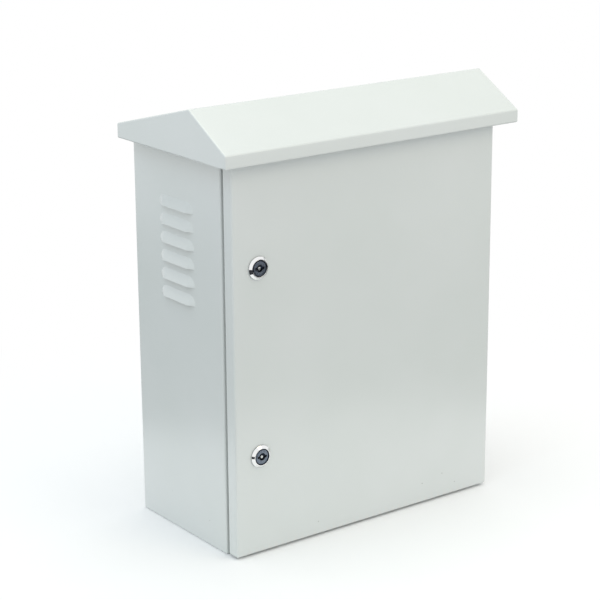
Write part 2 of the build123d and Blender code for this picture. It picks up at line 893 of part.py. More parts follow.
def lock_cam(z):
    """Flat tongue on the rotor's square, hanging down while the lock is open."""
    slot = SlotCenterToCenter(cam_reach - cam_width / 2, cam_width, rotation=90)
    tongue = Pos(0, -(cam_reach - cam_width / 2) / 2) * slot
    section = tongue - Rectangle(cam_square, cam_square)
    return lock_place(z, cam_rear_y) * extrude(section, cam_thickness)


def cam_washer(z):
    washer = ring(cam_washer_radius, cam_screw_radius + thread_clearance, cam_washer_thickness)
    return at(lock_x, cam_rear_y, z, BACKWARD) * washer


def cam_screw(z):
    seat = cam_rear_y + cam_washer_thickness
    shank = cam_screw_depth + cam_washer_thickness - cam_screw_end_gap
    screw = hex_bolt(cam_screw_radius, shank, cam_screw_flats, cam_screw_head)
    return at(lock_x, seat, z, FORWARD) * screw


def all_nodes():
    """Every piece of the cabinet by the name of its node."""
    nodes = {
        "cabinet_body": cabinet_body(),
        "roof_canopy": roof_canopy(),
        "roof_rib_left": roof_rib(-1),
        "roof_rib_right": roof_rib(1),
        "roof_bolts": roof_bolts(),
        "roof_bolt_seals": roof_bolt_seals(),
        "roof_bolt_nuts": roof_bolt_nuts(),
        "mounting_plate": mounting_plate(),
        "mounting_studs": mounting_studs(),
        "mounting_spacers": mounting_spacers(),
        "mounting_washers": mounting_washers(),
        "mounting_nuts": mounting_nuts(),
        "gland_plate": gland_plate(),
        "gland_plate_seal": gland_plate_seal(),
        "gland_plate_studs": gland_plate_studs(),
        "gland_plate_washers": gland_plate_washers(),
        "gland_plate_nuts": gland_plate_nuts(),
        "hinge_screws": hinge_screws(),
        "hinge_nuts": hinge_nuts(),
        "door_panel": door_panel(),
        "door_gasket": door_gasket(),
        "door_stiffener": door_stiffener(),
    }
    body_earth = earth_set(half_width - earth_from_side, back_inner_y, earth_height, FORWARD)
    door_earth = earth_set(door_earth_x, door_inner_y, door_earth_height, BACKWARD)
    for name, pieces in (("body_earth", body_earth), ("door_earth", door_earth)):
        for kind, piece in zip(("stud", "washer", "nut"), pieces):
            nodes[f"{name}_{kind}"] = piece
    for level, z in hinge_levels.items():
        nodes[f"{level}_hinge_frame_leaf"] = frame_leaf(z)
        nodes[f"{level}_hinge_door_leaf"] = door_leaf(z)
        nodes[f"{level}_hinge_pin"] = hinge_pin(z)
    for level, z in lock_levels.items():
        nodes[f"{level}_lock_housing"] = lock_housing(z)
        nodes[f"{level}_lock_seal"] = lock_seal_washer(z)
        nodes[f"{level}_lock_nut"] = lock_nut(z)
        nodes[f"{level}_lock_rotor"] = lock_rotor(z)
        nodes[f"{level}_lock_key_post"] = key_post(z)
        nodes[f"{level}_lock_cam"] = lock_cam(z)
        nodes[f"{level}_lock_cam_washer"] = cam_washer(z)
        nodes[f"{level}_lock_cam_screw"] = cam_screw(z)
    return nodes


os.makedirs("parts", exist_ok=True)
for node_name, node_shape in all_nodes().items():
    export_step(node_shape, f"parts/{node_name}.step")
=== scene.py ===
# %% [markdown]
# A roadside utility cabinet is a box of folded steel sheet with a rain roof. The construction comes
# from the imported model, which is loaded here as a fixed frame. Everything below gives it a finish,
# or a better surface in exactly the same place.

# %% Load the frame
import json
import math

import bmesh
import bpy
import numpy as np
from mathutils import Matrix, Vector

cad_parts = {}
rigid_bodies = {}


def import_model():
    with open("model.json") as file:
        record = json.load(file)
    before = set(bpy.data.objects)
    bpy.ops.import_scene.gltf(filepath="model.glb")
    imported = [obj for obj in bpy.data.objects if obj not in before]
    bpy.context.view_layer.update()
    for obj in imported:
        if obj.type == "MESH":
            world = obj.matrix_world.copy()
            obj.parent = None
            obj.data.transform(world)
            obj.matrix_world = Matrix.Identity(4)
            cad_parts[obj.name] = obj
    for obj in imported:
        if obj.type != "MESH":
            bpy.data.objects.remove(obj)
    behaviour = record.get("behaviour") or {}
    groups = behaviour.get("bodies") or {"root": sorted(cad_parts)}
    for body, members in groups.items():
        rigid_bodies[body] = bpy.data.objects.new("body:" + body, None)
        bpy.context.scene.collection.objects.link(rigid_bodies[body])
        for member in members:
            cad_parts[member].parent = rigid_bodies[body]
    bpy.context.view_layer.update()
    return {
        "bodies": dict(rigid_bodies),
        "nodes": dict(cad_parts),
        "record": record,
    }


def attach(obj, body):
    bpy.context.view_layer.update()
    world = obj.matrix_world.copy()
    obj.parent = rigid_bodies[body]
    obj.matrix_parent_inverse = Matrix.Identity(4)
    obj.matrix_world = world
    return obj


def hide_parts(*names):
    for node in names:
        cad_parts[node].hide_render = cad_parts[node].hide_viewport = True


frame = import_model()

bodies = frame["bodies"]
nodes = frame["nodes"]
print("bodies:", sorted(bodies), "nodes:", len(nodes))

# %% [markdown]
# The picture was taken with a long lens from the front left, a little above the roof. The numbers
# come from fitting the cabinet's known corners to the picture: where the camera stood, how it was
# turned and how long its lens was. The matrix columns are the camera's own right, up and back.

# %% Camera
CAMERA_PLACE = (-1.3913, -1.8338, 0.9583)
CAMERA_AZIMUTH = math.radians(-36.514)
CAMERA_ELEVATION = math.radians(16.65)
CAMERA_ROLL = math.radians(-0.382)
CAMERA_LENS = 114.05


def put(name, data):
    """Puts a camera, a lamp or a mesh in the scene as an object."""
    thing = bpy.data.objects.new(name, data)
    bpy.context.scene.collection.objects.link(thing)
    return thing


def add_camera():
    """Camera whose back axis points from the cabinet to the lens, turned by a small roll."""
    level = np.array([math.cos(CAMERA_AZIMUTH), math.sin(CAMERA_AZIMUTH), 0.0])
    back = math.cos(CAMERA_ELEVATION) * np.array([level[1], -level[0], 0.0])
    back[2] = math.sin(CAMERA_ELEVATION)
    upright = np.cross(back, level)
    right = math.cos(CAMERA_ROLL) * level + math.sin(CAMERA_ROLL) * upright
    up = -math.sin(CAMERA_ROLL) * level + math.cos(CAMERA_ROLL) * upright
    data = bpy.data.cameras.new("camera")
    data.lens = CAMERA_LENS
    data.sensor_width = 36.0
    camera = put("camera", data)
    matrix = np.eye(4)
    matrix[:3] = np.stack([right, up, back, CAMERA_PLACE], axis=1)
    camera.matrix_world = Matrix(matrix.tolist())
    bpy.context.scene.camera = camera
    return camera


camera = add_camera()
print("camera at", tuple(round(c, 3) for c in camera.matrix_world.translation))

# %% [markdown]
# A finish, and the light of the room too, is a small network of nodes. A finish reads Object
# coordinates in metres, so a grain of one millimetre is a noise of about 1000 to the metre on
# every piece, whatever its size.

# %% Node helpers
finishes = {}


def linear(value):
    """Screen value from 0 to 255 as linear light."""
    value = value / 255
    return value / 12.92 if value <= 0.04045 else ((value + 0.055) / 1.055) ** 2.4


def rgb(r, g, b):
    """Screen colour as linear light, with nothing see-through."""
    return (linear(r), linear(g), linear(b), 1.0)


def new_finish(name, metallic, roughness, specular=0.5):
    """New material in the list of finishes, with its shader and the object's own coordinates."""
    material = bpy.data.materials.new(name)
    material.use_nodes = True
    tree = material.node_tree
    shader = tree.nodes["Principled BSDF"]
    shader.inputs["Metallic"].default_value = metallic
    shader.inputs["Roughness"].default_value = roughness
    shader.inputs["Specular IOR Level"].default_value = specular
    finishes[name] = material
    return tree, shader, node(tree, "ShaderNodeTexCoord").outputs["Object"]


def node(tree, kind, inputs=(), **settings):
    """Adds a node; inputs are (socket, value) pairs whose value may be another node's output."""
    made = tree.nodes.new(kind)
    for name, value in settings.items():
        setattr(made, name, value)
    for socket, value in inputs:
        if isinstance(value, bpy.types.NodeSocket):
            tree.links.new(value, made.inputs[socket])
        else:
            made.inputs[socket].default_value = value
    return made


def noise(tree, place, scale, detail=2.0, roughness=0.5):
    """Soft noise between 0 and 1, with a scale in waves to the metre."""
    inputs = [("Vector", place), ("Scale", scale), ("Detail", detail), ("Roughness", roughness)]
    return node(tree, "ShaderNodeTexNoise", inputs).outputs["Fac"]


def ramp(tree, value, low, high, from_low=0.0, from_high=1.0, smooth=False):
    """Value moved from one range to another, held at the ends."""
    kind = "SMOOTHSTEP" if smooth else "LINEAR"
    inputs = [("Value", value), ("From Min", from_low), ("From Max", from_high)]
    inputs += [("To Min", low), ("To Max", high)]
    made = node(tree, "ShaderNodeMapRange", inputs, interpolation_type=kind)
    return made.outputs["Result"]


def math_node(tree, operation, first, second=0.0, clamp=False):
    """One arithmetic step."""
    inputs = [(0, first), (1, second)]
    return node(tree, "ShaderNodeMath", inputs, operation=operation, use_clamp=clamp).outputs[0]


def blend(tree, share, first, second):
    """Colour between two colours."""
    inputs = [("Factor", share), (6, first), (7, second)]
    return node(tree, "ShaderNodeMix", inputs, data_type="RGBA").outputs[2]


def paint(tree, shader, colour, roughness):
    """Gives a finish its colour and its roughness."""
    tree.links.new(colour, shader.inputs["Base Color"])
    tree.links.new(roughness, shader.inputs["Roughness"])


def bump(tree, shader, height, distance, strength):
    """Fine relief; distance is its height in metres."""
    inputs = [("Height", height), ("Distance", distance), ("Strength", strength)]
    tree.links.new(node(tree, "ShaderNodeBump", inputs).outputs["Normal"], shader.inputs["Normal"])


print("node helpers ready")

# %% [markdown]
# Studio light for a pale object is big and soft. A white room gives most of it. A warm panel hangs
# overhead and a weaker one stands in front, and a bluish one at the left makes the side look cooler
# than the door, as in the photo.

# %% Light
def soft_panel(name, place, target, size, power, colour):
    """Square area lamp at place that looks at target."""
    data = bpy.data.lights.new(name, "AREA")
    data.shape = "SQUARE"
    data.size = size
    data.energy = power
    data.color = colour
    lamp = put(name, data)
    lamp.location = place
    aim = Vector(target) - Vector(place)
    lamp.rotation_euler = aim.to_track_quat("-Z", "Y").to_euler()


MIDDLE = (0.0, 0.0, 0.28)
soft_panel("overhead_panel", (0.0, 0.0, 2.4), MIDDLE, 1.6, 12.4, (1.0, 0.975, 0.80))
soft_panel("front_panel", (0.6, -1.9, 1.9), MIDDLE, 1.2, 7.4, (1.0, 0.85, 0.55))
soft_panel("left_panel", (-1.45, -0.1, 2.3), MIDDLE, 1.2, 5.0, (0.56, 0.85, 1.0))


def direct_rays(tree):
    """1 for rays that come straight from the camera, or by way of a mirror or glass."""
    path = node(tree, "ShaderNodeLightPath").outputs
    total = path["Is Camera Ray"]
    for name in ("Is Glossy Ray", "Is Transmission Ray"):
        total = math_node(tree, "ADD", total, path[name], clamp=True)
    return total


def light_room(strength, colour):
    """World that lights evenly, and that the camera, mirrors and glass see as plain white."""
    world = bpy.data.worlds.new("room")
    world.use_nodes = True
    tree = world.node_tree
    tree.nodes.clear()
    lit = node(tree, "ShaderNodeBackground", [("Color", (*colour, 1.0)), ("Strength", strength)])
    seen = node(tree, "ShaderNodeBackground", [("Color", (1.0, 1.0, 1.0, 1.0)), ("Strength", 1.0)])
    inputs = [("Fac", direct_rays(tree)), (1, lit.outputs[0]), (2, seen.outputs[0])]
    mix = node(tree, "ShaderNodeMixShader", inputs)
    node(tree, "ShaderNodeOutputWorld", [("Surface", mix.outputs[0])])
    bpy.context.scene.world = world


light_room(0.88, (0.925, 0.955, 0.995))
bpy.context.scene.view_settings.view_transform = "Standard"
print("three soft panels and a white room")

# %% [markdown]
# The floor only has to be white and take a shadow. Near the cabinet it is an ordinary matt surface,
# and further out the camera sees plain white, so that no horizon shows. The light that the far
# paper throws back is a little weaker, which makes the top and the middle of the walls darker by
# about 6 levels of 255, and their foot by only 1.

# %% Floor
FLOOR_REACH = 12.0
FLOOR_NEAR = 0.26
FLOOR_FAR = 0.80
PAPER_NEAR = (0.97, 0.97, 0.97, 1.0)
PAPER_FAR = (0.78, 0.78, 0.78, 1.0)


def stage_piece(name, points, faces, material):
    """Puts a flat piece of the studio in the scene."""
    mesh = bpy.data.meshes.new(name)
    mesh.from_pydata(points, [], faces)
    mesh.materials.append(material)
    piece = put(name, mesh)
    return piece


def floor_white():
    """Matt white near the cabinet. Far from it, direct rays see plain white, and all others a
    slightly greyer paper."""
    material = bpy.data.materials.new("floor_white")
    material.use_nodes = True
    tree = material.node_tree
    tree.nodes.clear()
    place = node(tree, "ShaderNodeTexCoord").outputs["Object"]
    distance = node(tree, "ShaderNodeVectorMath", [(0, place)], operation="LENGTH").outputs["Value"]
    fade = ramp(tree, distance, 0.0, 1.0, FLOOR_NEAR, FLOOR_FAR, True)
    seen = math_node(tree, "MULTIPLY", fade, direct_rays(tree))
    bounced = math_node(tree, "SUBTRACT", fade, seen)
    paper = blend(tree, bounced, PAPER_NEAR, PAPER_FAR)
    matt = node(tree, "ShaderNodeBsdfDiffuse", [("Color", paper)])
    white = node(tree, "ShaderNodeEmission")
    inputs = [("Fac", seen), (1, matt.outputs[0]), (2, white.outputs[0])]
    mix = node(tree, "ShaderNodeMixShader", inputs)
    node(tree, "ShaderNodeOutputMaterial", [("Surface", mix.outputs[0])])
    return material


floor_signs = ((-1, -1), (1, -1), (1, 1), (-1, 1))
floor_corners = [(x * FLOOR_REACH, y * FLOOR_REACH, 0.0) for x, y in floor_signs]
stage_piece("floor", floor_corners, [(0, 1, 2, 3)], floor_white())
print("floor reaches", FLOOR_REACH, "m to each side")

# %% [markdown]
# The gloss of the paint in the photo suggests that the paper lay in a darker room: the walls are
# darkest about half way up, while the louvres, which lean back, stay bright. A dark ring round the
# paper stands in for that room. It is a guess and part of the stage, not of a finish. Only
# reflections see it, and they see it in place of the white floor. It makes the upper half of the
# side darker by about 15 levels of 255, the middle of the door by 9 and the louvres by 4. Leave
# this cell out to judge the finishes in a plain white room.

# %% Dark ring round the paper
RING_INNER = 0.50
RING_OUTER = 1.70
RING_STEPS = 96
RING_HEIGHT = 0.002


def add_ring():
    """Flat ring just above the floor, seen in reflections only."""
    turn = np.linspace(0, 2 * math.pi, RING_STEPS, endpoint=False)
    circle = np.stack([np.cos(turn), np.sin(turn)], -1)
    points = np.concatenate([RING_INNER * circle, RING_OUTER * circle])
    points = np.insert(points, 2, RING_HEIGHT, axis=-1)
    here = np.arange(RING_STEPS)
    after = np.roll(here, -1)
    faces = np.stack([here, here + RING_STEPS, after + RING_STEPS, after], -1)
    tree, shader, place = new_finish("ring_dark", 0.0, 0.9, 0.0)
    shader.inputs["Base Color"].default_value = (0.035, 0.035, 0.04, 1.0)
    ring = stage_piece("ring", points.tolist(), faces.tolist(), finishes["ring_dark"])
    ring.visible_camera = False
    ring.visible_diffuse = False
    ring.visible_shadow = False


add_ring()
print("ring from", RING_INNER, "to", RING_OUTER, "m")

# %% [markdown]
# Powder coat is plastic powder melted on to the steel. It comes out as a light grey, half-gloss
# skin with a faint orange-peel ripple of one to two millimetres. A flat colour would look like
# paper, so the ripple, a very slight drift of tone and a few dust specks low down are added.

# %% Powder coat
PEEL_SCALE = 620.0
DUST_LOW = 0.020
DUST_HIGH = 0.060


def dust_specks(tree, place):
    """Sparse dark dots: the middles of a few random cells, only near the foot of a wall."""
    inputs = [("Vector", place), ("Scale", 55.0), ("Randomness", 1.0)]
    cell = node(tree, "ShaderNodeTexVoronoi", inputs)
    chosen = node(tree, "ShaderNodeSeparateColor", [(0, cell.outputs["Color"])])
    dot = ramp(tree, cell.outputs["Distance"], 1.0, 0.0, 0.025, 0.05)
    few = math_node(tree, "GREATER_THAN", chosen.outputs[0], 0.62)
    height = node(tree, "ShaderNodeSeparateXYZ", [(0, place)]).outputs["Z"]
    low = ramp(tree, height, 1.0, 0.0, DUST_LOW, DUST_HIGH, True)
    return math_node(tree, "MULTIPLY", math_node(tree, "MULTIPLY", dot, few), low)


def powder_coat():
    """Light grey, half-gloss, with a slow drift of tone, a fine ripple and dust low down."""
    tree, shader, place = new_finish("powder_coat", 0.0, 0.30, 0.85)
    drift = ramp(tree, noise(tree, place, 7.0, 3.0), 0.0, 1.0, 0.3, 0.7)
    colour = blend(tree, drift, rgb(212, 217, 214), rgb(216, 220, 218))
    specks = math_node(tree, "MULTIPLY", dust_specks(tree, place), 0.75)
    colour = blend(tree, specks, colour, rgb(96, 92, 86))
    peel = noise(tree, place, PEEL_SCALE)
    paint(tree, shader, colour, ramp(tree, peel, 0.25, 0.28))
    bump(tree, shader, peel, 0.00001, 0.05)


powder_coat()
print("powder coat with a ripple of about", round(1000 / PEEL_SCALE, 1), "mm")

# %% [markdown]
# The lock heads are chromed, and their turning plugs are darkened die-cast metal with turning
# rings. The plugs also carry painted shade: a near-black band at the rim, where the gap round the
# plug is, and a darker key hole. Both locks share one material, so the distance from the nearer
# lock's axis is worked out by folding the height about the middle between the two locks.

# %% Lock finishes
LOCK_X = -0.164
LOCK_LEVELS = {"upper": 0.361, "lower": 0.127}
LOCK_MIDDLE_Z = sum(LOCK_LEVELS.values()) / 2
LOCK_HALF_SPAN = LOCK_LEVELS["upper"] - LOCK_MIDDLE_Z
TURNING_PITCH = 0.0011
KEY_HOLE_RADIUS = 0.0046


def lock_radius(tree, place):
    """Distance in metres from the axis of the nearer lock."""
    axes = node(tree, "ShaderNodeSeparateXYZ", [(0, place)])
    across = math_node(tree, "SUBTRACT", axes.outputs["X"], LOCK_X)
    from_middle = math_node(tree, "SUBTRACT", axes.outputs["Z"], LOCK_MIDDLE_Z)
    up = math_node(tree, "SUBTRACT", math_node(tree, "ABSOLUTE", from_middle), LOCK_HALF_SPAN)
    square = math_node(tree, "MULTIPLY", across, across)
    square = math_node(tree, "ADD", square, math_node(tree, "MULTIPLY", up, up))
    return math_node(tree, "SQRT", square)


def chrome():
    """Polished chrome, a little hazy in patches."""
    tree, shader, place = new_finish("chrome_plate", 1.0, 0.06)
    haze = noise(tree, place, 160.0, 3.0)
    colour = blend(tree, haze, (0.84, 0.85, 0.87, 1.0), (0.91, 0.91, 0.90, 1.0))
    paint(tree, shader, colour, ramp(tree, haze, 0.03, 0.10))
    bump(tree, shader, noise(tree, place, 420.0), 0.00001, 0.3)


def lock_steel():
    """Blue-grey metal with turned rings; painted shade darkens the rim gap and the key hole."""
    tree, shader, place = new_finish("lock_steel", 1.0, 0.3)
    radius = lock_radius(tree, place)
    turns = math_node(tree, "SINE", math_node(tree, "MULTIPLY", radius, 2 * math.pi / TURNING_PITCH))
    tone = ramp(tree, turns, 0.25, 0.75, -1.0, 1.0)
    face = blend(tree, tone, rgb(96, 104, 118), rgb(150, 160, 174))
    # Painted shade: from 8.9 mm out the plug is near-black, standing in for the gap round it.
    rim = ramp(tree, radius, 0.0, 1.0, 0.0088, 0.0090)
    colour = blend(tree, rim, face, rgb(38, 43, 54))
    # Painted shade: inside the key hole the colour is darker, the shade of a deep hole.
    key_hole_shade = ramp(tree, radius, 1.0, 0.0, KEY_HOLE_RADIUS - 0.0004, KEY_HOLE_RADIUS)
    colour = blend(tree, key_hole_shade, colour, rgb(60, 58, 62))
    paint(tree, shader, colour, ramp(tree, noise(tree, place, 900.0), 0.22, 0.38))
    bump(tree, shader, turns, 0.00003, 0.5)


chrome()
lock_steel()
print("lock finishes ready")

# %% [markdown]
# Inside are galvanised sheet with its frost-like spangle, zinc-plated nuts and studs, and black
# seals. Spangle is a pattern of cells with straight borders, each cell with its own tone.

# %% Inside finishes
def galvanised():
    """Spangled zinc: each crystal has its own tone and gloss."""
    tree, shader, place = new_finish("galvanised_sheet", 1.0, 0.36)
    inputs = [("Vector", place), ("Scale", 95.0), ("Randomness", 1.0)]
    cell = node(tree, "ShaderNodeTexVoronoi", inputs)
    tone = node(tree, "ShaderNodeSeparateColor", [(0, cell.outputs["Color"])])
    colour = blend(tree, tone.outputs[0], (0.46, 0.49, 0.52, 1.0), (0.66, 0.68, 0.69, 1.0))
    paint(tree, shader, colour, ramp(tree, tone.outputs[1], 0.26, 0.48))
    bump(tree, shader, noise(tree, place, 700.0, 3.0), 0.00002, 0.4)


def zinc():
    """Bright zinc plating with a slight drift of colour."""
    tree, shader, place = new_finish("zinc_hardware", 1.0, 0.25)
    drift = noise(tree, place, 240.0, 3.0)
    colour = blend(tree, drift, (0.58, 0.62, 0.66, 1.0), (0.72, 0.72, 0.69, 1.0))
    paint(tree, shader, colour, ramp(tree, drift, 0.18, 0.34))
    bump(tree, shader, noise(tree, place, 2200.0), 0.00001, 0.4)


def black_seal(name, grain, depth, roughness, light, dark):
    """Black foam or rubber: grain in waves to the metre and its depth in metres."""
    tree, shader, place = new_finish(name, 0.0, roughness, 0.3)
    cells = noise(tree, place, grain, 3.0, 0.6)
    tree.links.new(blend(tree, cells, dark, light), shader.inputs["Base Color"])
    bump(tree, shader, cells, depth, 0.7)


galvanised()
zinc()
for name, grain, depth, roughness, light, dark in (
    ("foam_seal", 1500.0, 0.0003, 0.85, rgb(62, 62, 64), rgb(22, 22, 23)),
    ("rubber_seal", 900.0, 0.00008, 0.6, rgb(40, 40, 42), rgb(26, 26, 27)),
):
    black_seal(name, grain, depth, roughness, light, dark)
print("finishes:", sorted(finishes))

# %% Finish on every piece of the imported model
slots = {row["node"]: row["material_slot"] for row in frame["record"]["subparts"]}
for name, cad_piece in nodes.items():
    cad_piece.data.materials.clear()
    cad_piece.data.materials.append(finishes[slots[name]])
print(len(slots), "pieces have their finish")

# %% [markdown]
# Every sheet-metal surface below is worked out as arrays of points. A patch is a grid of points, a
# piece is a few patches whose shared edges fall on the same points, and merging those points makes
# one closed skin. The skin is then given the sheet's thickness, so that cut edges show it. A box
# with bevels would be quicker, but its bends, louvres and lips would not be one sheet.

# %% Patches of points
MERGE_DISTANCE = 2e-6
SHEET = 0.0012
BEND = 2 * SHEET
EDGE_MARGIN = 1e-7


def grid_faces(rows, columns):
    """Quads of a grid: point (i, j) is number i * columns + j."""
    index = np.arange(rows * columns).reshape(rows, columns)
    ring = [index[:-1, :-1], index[:-1, 1:], index[1:, 1:], index[1:, :-1]]
    return np.stack(ring, axis=-1).reshape(-1, 4)


def patch(points, keep=None):
    """Points and quads of a grid; keep says which of its cells stay, and points that no cell
    uses any more are dropped."""
    points = np.asarray(points, float)
    faces = grid_faces(*points.shape[:2])
    if keep is not None:
        faces = faces[np.asarray(keep).reshape(-1)]
    used, faces = np.unique(faces, return_inverse=True)
    return points.reshape(-1, 3)[used], faces.reshape(-1, 4)


def join_patches(name, patches):
    """One mesh from several patches, with the points on their shared edges merged."""
    counts = [len(points) for points, faces in patches]
    starts = np.concatenate([[0], np.cumsum(counts)[:-1]])
    points = np.concatenate([points for points, faces in patches])
    faces = np.concatenate([faces + start for (_, faces), start in zip(patches, starts)])
    mesh = bpy.data.meshes.new(name)
    mesh.from_pydata(points.tolist(), [], faces.tolist())
    work = bmesh.new()
    work.from_mesh(mesh)
    bmesh.ops.remove_doubles(work, verts=work.verts, dist=MERGE_DISTANCE)
    bmesh.ops.recalc_face_normals(work, faces=work.faces)
    work.to_mesh(mesh)
    work.free()
    return mesh


print("patch helpers ready")

# %% Finished pieces
def add_piece(name, mesh, body, slot):
    """Puts a mesh in the scene as a piece that rides on a body and takes a slot's finish."""
    piece = put(name, mesh)
    mesh.materials.clear()
    mesh.materials.append(finishes[slot])
    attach(piece, body)
    return piece


def settle(piece, sharp=35):
    """Applies the modifiers, shades smooth and keeps corners sharper than an angle crisp."""
    graph = bpy.context.evaluated_depsgraph_get()
    mesh = bpy.data.meshes.new_from_object(piece.evaluated_get(graph))
    piece.modifiers.clear()
    piece.data = mesh
    mesh.shade_smooth()
    mesh.set_sharp_from_angle(angle=math.radians(sharp))
    return piece


def keep_flats_flat(piece):
    """Weighs the shading by face size, so flat sides stay flat beside their bends."""
    weigh = piece.modifiers.new("flat_sides", "WEIGHTED_NORMAL")
    weigh.keep_sharp = True
    weigh.weight = 100
    return piece


def sheet_piece(name, patches, body, slot):
    """Folded sheet: the patches are its outside, and the thickness goes inwards."""
    piece = add_piece(name, join_patches(name, patches), body, slot)
    shell = piece.modifiers.new("thickness", "SOLIDIFY")
    shell.thickness = SHEET
    shell.offset = -1.0
    shell.use_even_offset = True
    keep_flats_flat(settle(piece))
    print(name, len(piece.data.polygons), "faces")
    return piece


print("sheets are", SHEET * 1000, "mm thick with an outer bend of", BEND * 1000, "mm")

# %% Lines and round corners
def round_lines(low, high, radius, steps=3):
    """Grid lines that crowd at both ends, where a bend starts: at an angle a of up to half the
    bend, a line stands radius * tan(a) outside the start of the bend."""
    reach = radius * np.tan(np.linspace(0.0, math.pi / 4, steps + 1))
    return np.concatenate([low + radius - reach, high - radius + reach])


def hole_lines(centre, reach):
    """Grid lines through a square around a hole, at equal angles seen from its centre: the same
    as two bends that meet in the middle."""
    return round_lines(centre - reach, centre + reach, reach)


def merge_lines(*groups):
    """Sorted grid lines without repeats."""
    return np.unique(np.round(np.concatenate([np.atleast_1d(g) for g in groups]), 7))


def middles(lines):
    """Middles of the cells between lines."""
    return (lines[:-1] + lines[1:]) / 2


def within(u, v, low_u, high_u, low_v, high_v):
    """Which cells of a grid have their middle in a rectangle."""
    u, v = middles(u), middles(v)
    return ((u > low_u) & (u < high_u))[:, None] & ((v > low_v) & (v < high_v))[None, :]


print("round corners use", len(round_lines(0, 1, 0.1)) // 2 - 1, "steps for half a bend")

# %% Loops and round corners
def rectangle_loop(u, v, low_u, high_u, low_v, high_v):
    """Closed run of the grid's points around a rectangle."""
    u = u[(u > low_u - EDGE_MARGIN) & (u < high_u + EDGE_MARGIN)]
    v = v[(v > low_v - EDGE_MARGIN) & (v < high_v + EDGE_MARGIN)]
    along = [u, np.full(len(v) - 1, u[-1]), u[::-1][1:], np.full(len(v) - 1, u[0])]
    across = [np.full(len(u), v[0]), v[1:], np.full(len(u) - 1, v[-1]), v[::-1][1:]]
    return np.stack([np.concatenate(along), np.concatenate(across)], axis=-1)


def round_loop(loop, corner, inset=0.0):
    """Pulls a rectangle's points onto round corners: a point stands one corner radius, less the
    inset, away from its nearest place in the smaller rectangle between the corner centres. A
    corner of half a square's side makes a circle."""
    core = np.clip(loop, loop.min(0) + corner, loop.max(0) - corner)
    away = loop - core
    return core + (corner - inset) * away / np.linalg.norm(away, axis=-1, keepdims=True)


def rounded(points, low, high, radius):
    """Round-edged box: a point stands one radius away from its nearest place in the core box."""
    core = np.clip(points, np.asarray(low) + radius, np.asarray(high) - radius)
    away = points - core
    return core + radius * away / np.linalg.norm(away, axis=-1, keepdims=True)


def box_side(axis, value, lines):
    """Grid on the plane where one coordinate has a value; the other two follow their lines."""
    others = [k for k in range(3) if k != axis]
    first, second = np.meshgrid(lines[others[0]], lines[others[1]], indexing="ij")
    points = np.full(first.shape + (3,), float(value))
    points[..., others[0]] = first
    points[..., others[1]] = second
    return points


def raise_loop(loop, axis, value):
    """Turns a flat loop into points in space, with one coordinate the same for all."""
    return np.insert(loop, axis, value, axis=-1)


square = np.array([[-1.0, -1.0], [1.0, -1.0], [1.0, 1.0], [-1.0, 1.0]])
reached = np.linalg.norm(round_loop(square, 1.0), axis=1)
print("a square's corners, pulled onto a circle of radius 1, lie at", np.round(reached, 3))

# %% Walls with holes
def ring_patch(outer, inner, axis, value):
    """Ring of cells on a plane, from one flat loop of points to another."""
    return patch([raise_loop(outer, axis, value), raise_loop(inner, axis, value)])


def holed_wall(face, lines, wall_y, holes, reach, radius, flat=1.0):
    """Wall across Y with round holes, each reached from a square by a ring of cells. flat is how
    far a hole's two straight sides stand from its middle, if it has any."""
    x, y, z = lines
    keep = np.ones((len(x) - 1, len(z) - 1), bool)
    patches = []
    for u, v in holes:
        square = (u - reach, u + reach, v - reach, v + reach)
        keep &= ~within(x, z, *square)
        outer = rectangle_loop(x, z, *square)
        inner = round_loop(outer, reach, reach - radius)
        inner[:, 0] = np.clip(inner[:, 0], u - flat, u + flat)
        patches.append(ring_patch(outer, inner, 1, wall_y))
    return [patch(face, keep), *patches]


print("wall helpers ready")

# %% [markdown]
# The body is one welded shell of folded sheet: rounded box edges, a front rim, and around the
# opening a lip that stands forward and keeps rain out. Six louvres are pressed into each side.
# A louvre is a cut with the metal above it pushed outwards, so the skin is split along the cut.
# It could be cut from a solid, but a formula gives the soft half-round ends of a pressed louvre.

# %% Measures of the body
body_low = np.array([-0.200, -0.0715, 0.0])
body_high = np.array([0.200, 0.1155, 0.500])
lip_low = np.array([-0.182, 0.018])
lip_high = np.array([0.180, 0.470])
LIP_CORNER = 0.003 + SHEET
LIP_EDGE_Y = -0.0855
louvre_slots = 0.415 - 0.0227 * np.arange(6)
LOUVRE_MIDDLE_Y = 0.022
LOUVRE_LENGTH = 0.075
LOUVRE_HEIGHT = 0.013
LOUVRE_BULGE = 0.005
LOUVRE_FOOT = 0.06
LOUVRE_CROWN = 0.10
WALL_HOLE_RADIUS = 0.0045
WALL_HOLE_SQUARE = 0.007
wall_hole_x = (-0.175, 0.175)
wall_hole_z = (0.025, 0.475)
wall_holes = [(x, z) for x in wall_hole_x for z in wall_hole_z]
cable_low = np.array([-0.110, -0.0395])
cable_high = np.array([0.110, 0.0705])
CABLE_CORNER = 0.005
print(len(louvre_slots), "louvres a side, lowest cut at z =", round(float(louvre_slots.min()), 4))

# %% Louvre formula
def louvre_bulge(y, z, slot):
    """How far the wall is pushed out. It grows in a straight slope with the nearness to the
    straight middle part of the cut, and the slope eases in over the foot and out at the crown."""
    half = LOUVRE_LENGTH / 2 - LOUVRE_HEIGHT
    beside = np.maximum(np.abs(y - LOUVRE_MIDDLE_Y) - half, 0.0)
    near = np.clip(1.0 - np.hypot(beside, z - slot) / LOUVRE_HEIGHT, 0.0, 1.0)
    rise = near - LOUVRE_FOOT / 2
    rise = np.where(near < LOUVRE_FOOT, near**2 / (2 * LOUVRE_FOOT), rise)
    past = np.maximum(near - (1 - LOUVRE_CROWN), 0.0)
    rise = rise - past**2 / (2 * LOUVRE_CROWN)
    return LOUVRE_BULGE * rise / (1 - LOUVRE_FOOT / 2 - LOUVRE_CROWN / 2)


def body_side(axis, value, lines):
    """Side of the body's round-edged box."""
    return rounded(box_side(axis, value, lines), body_low, body_high, BEND)


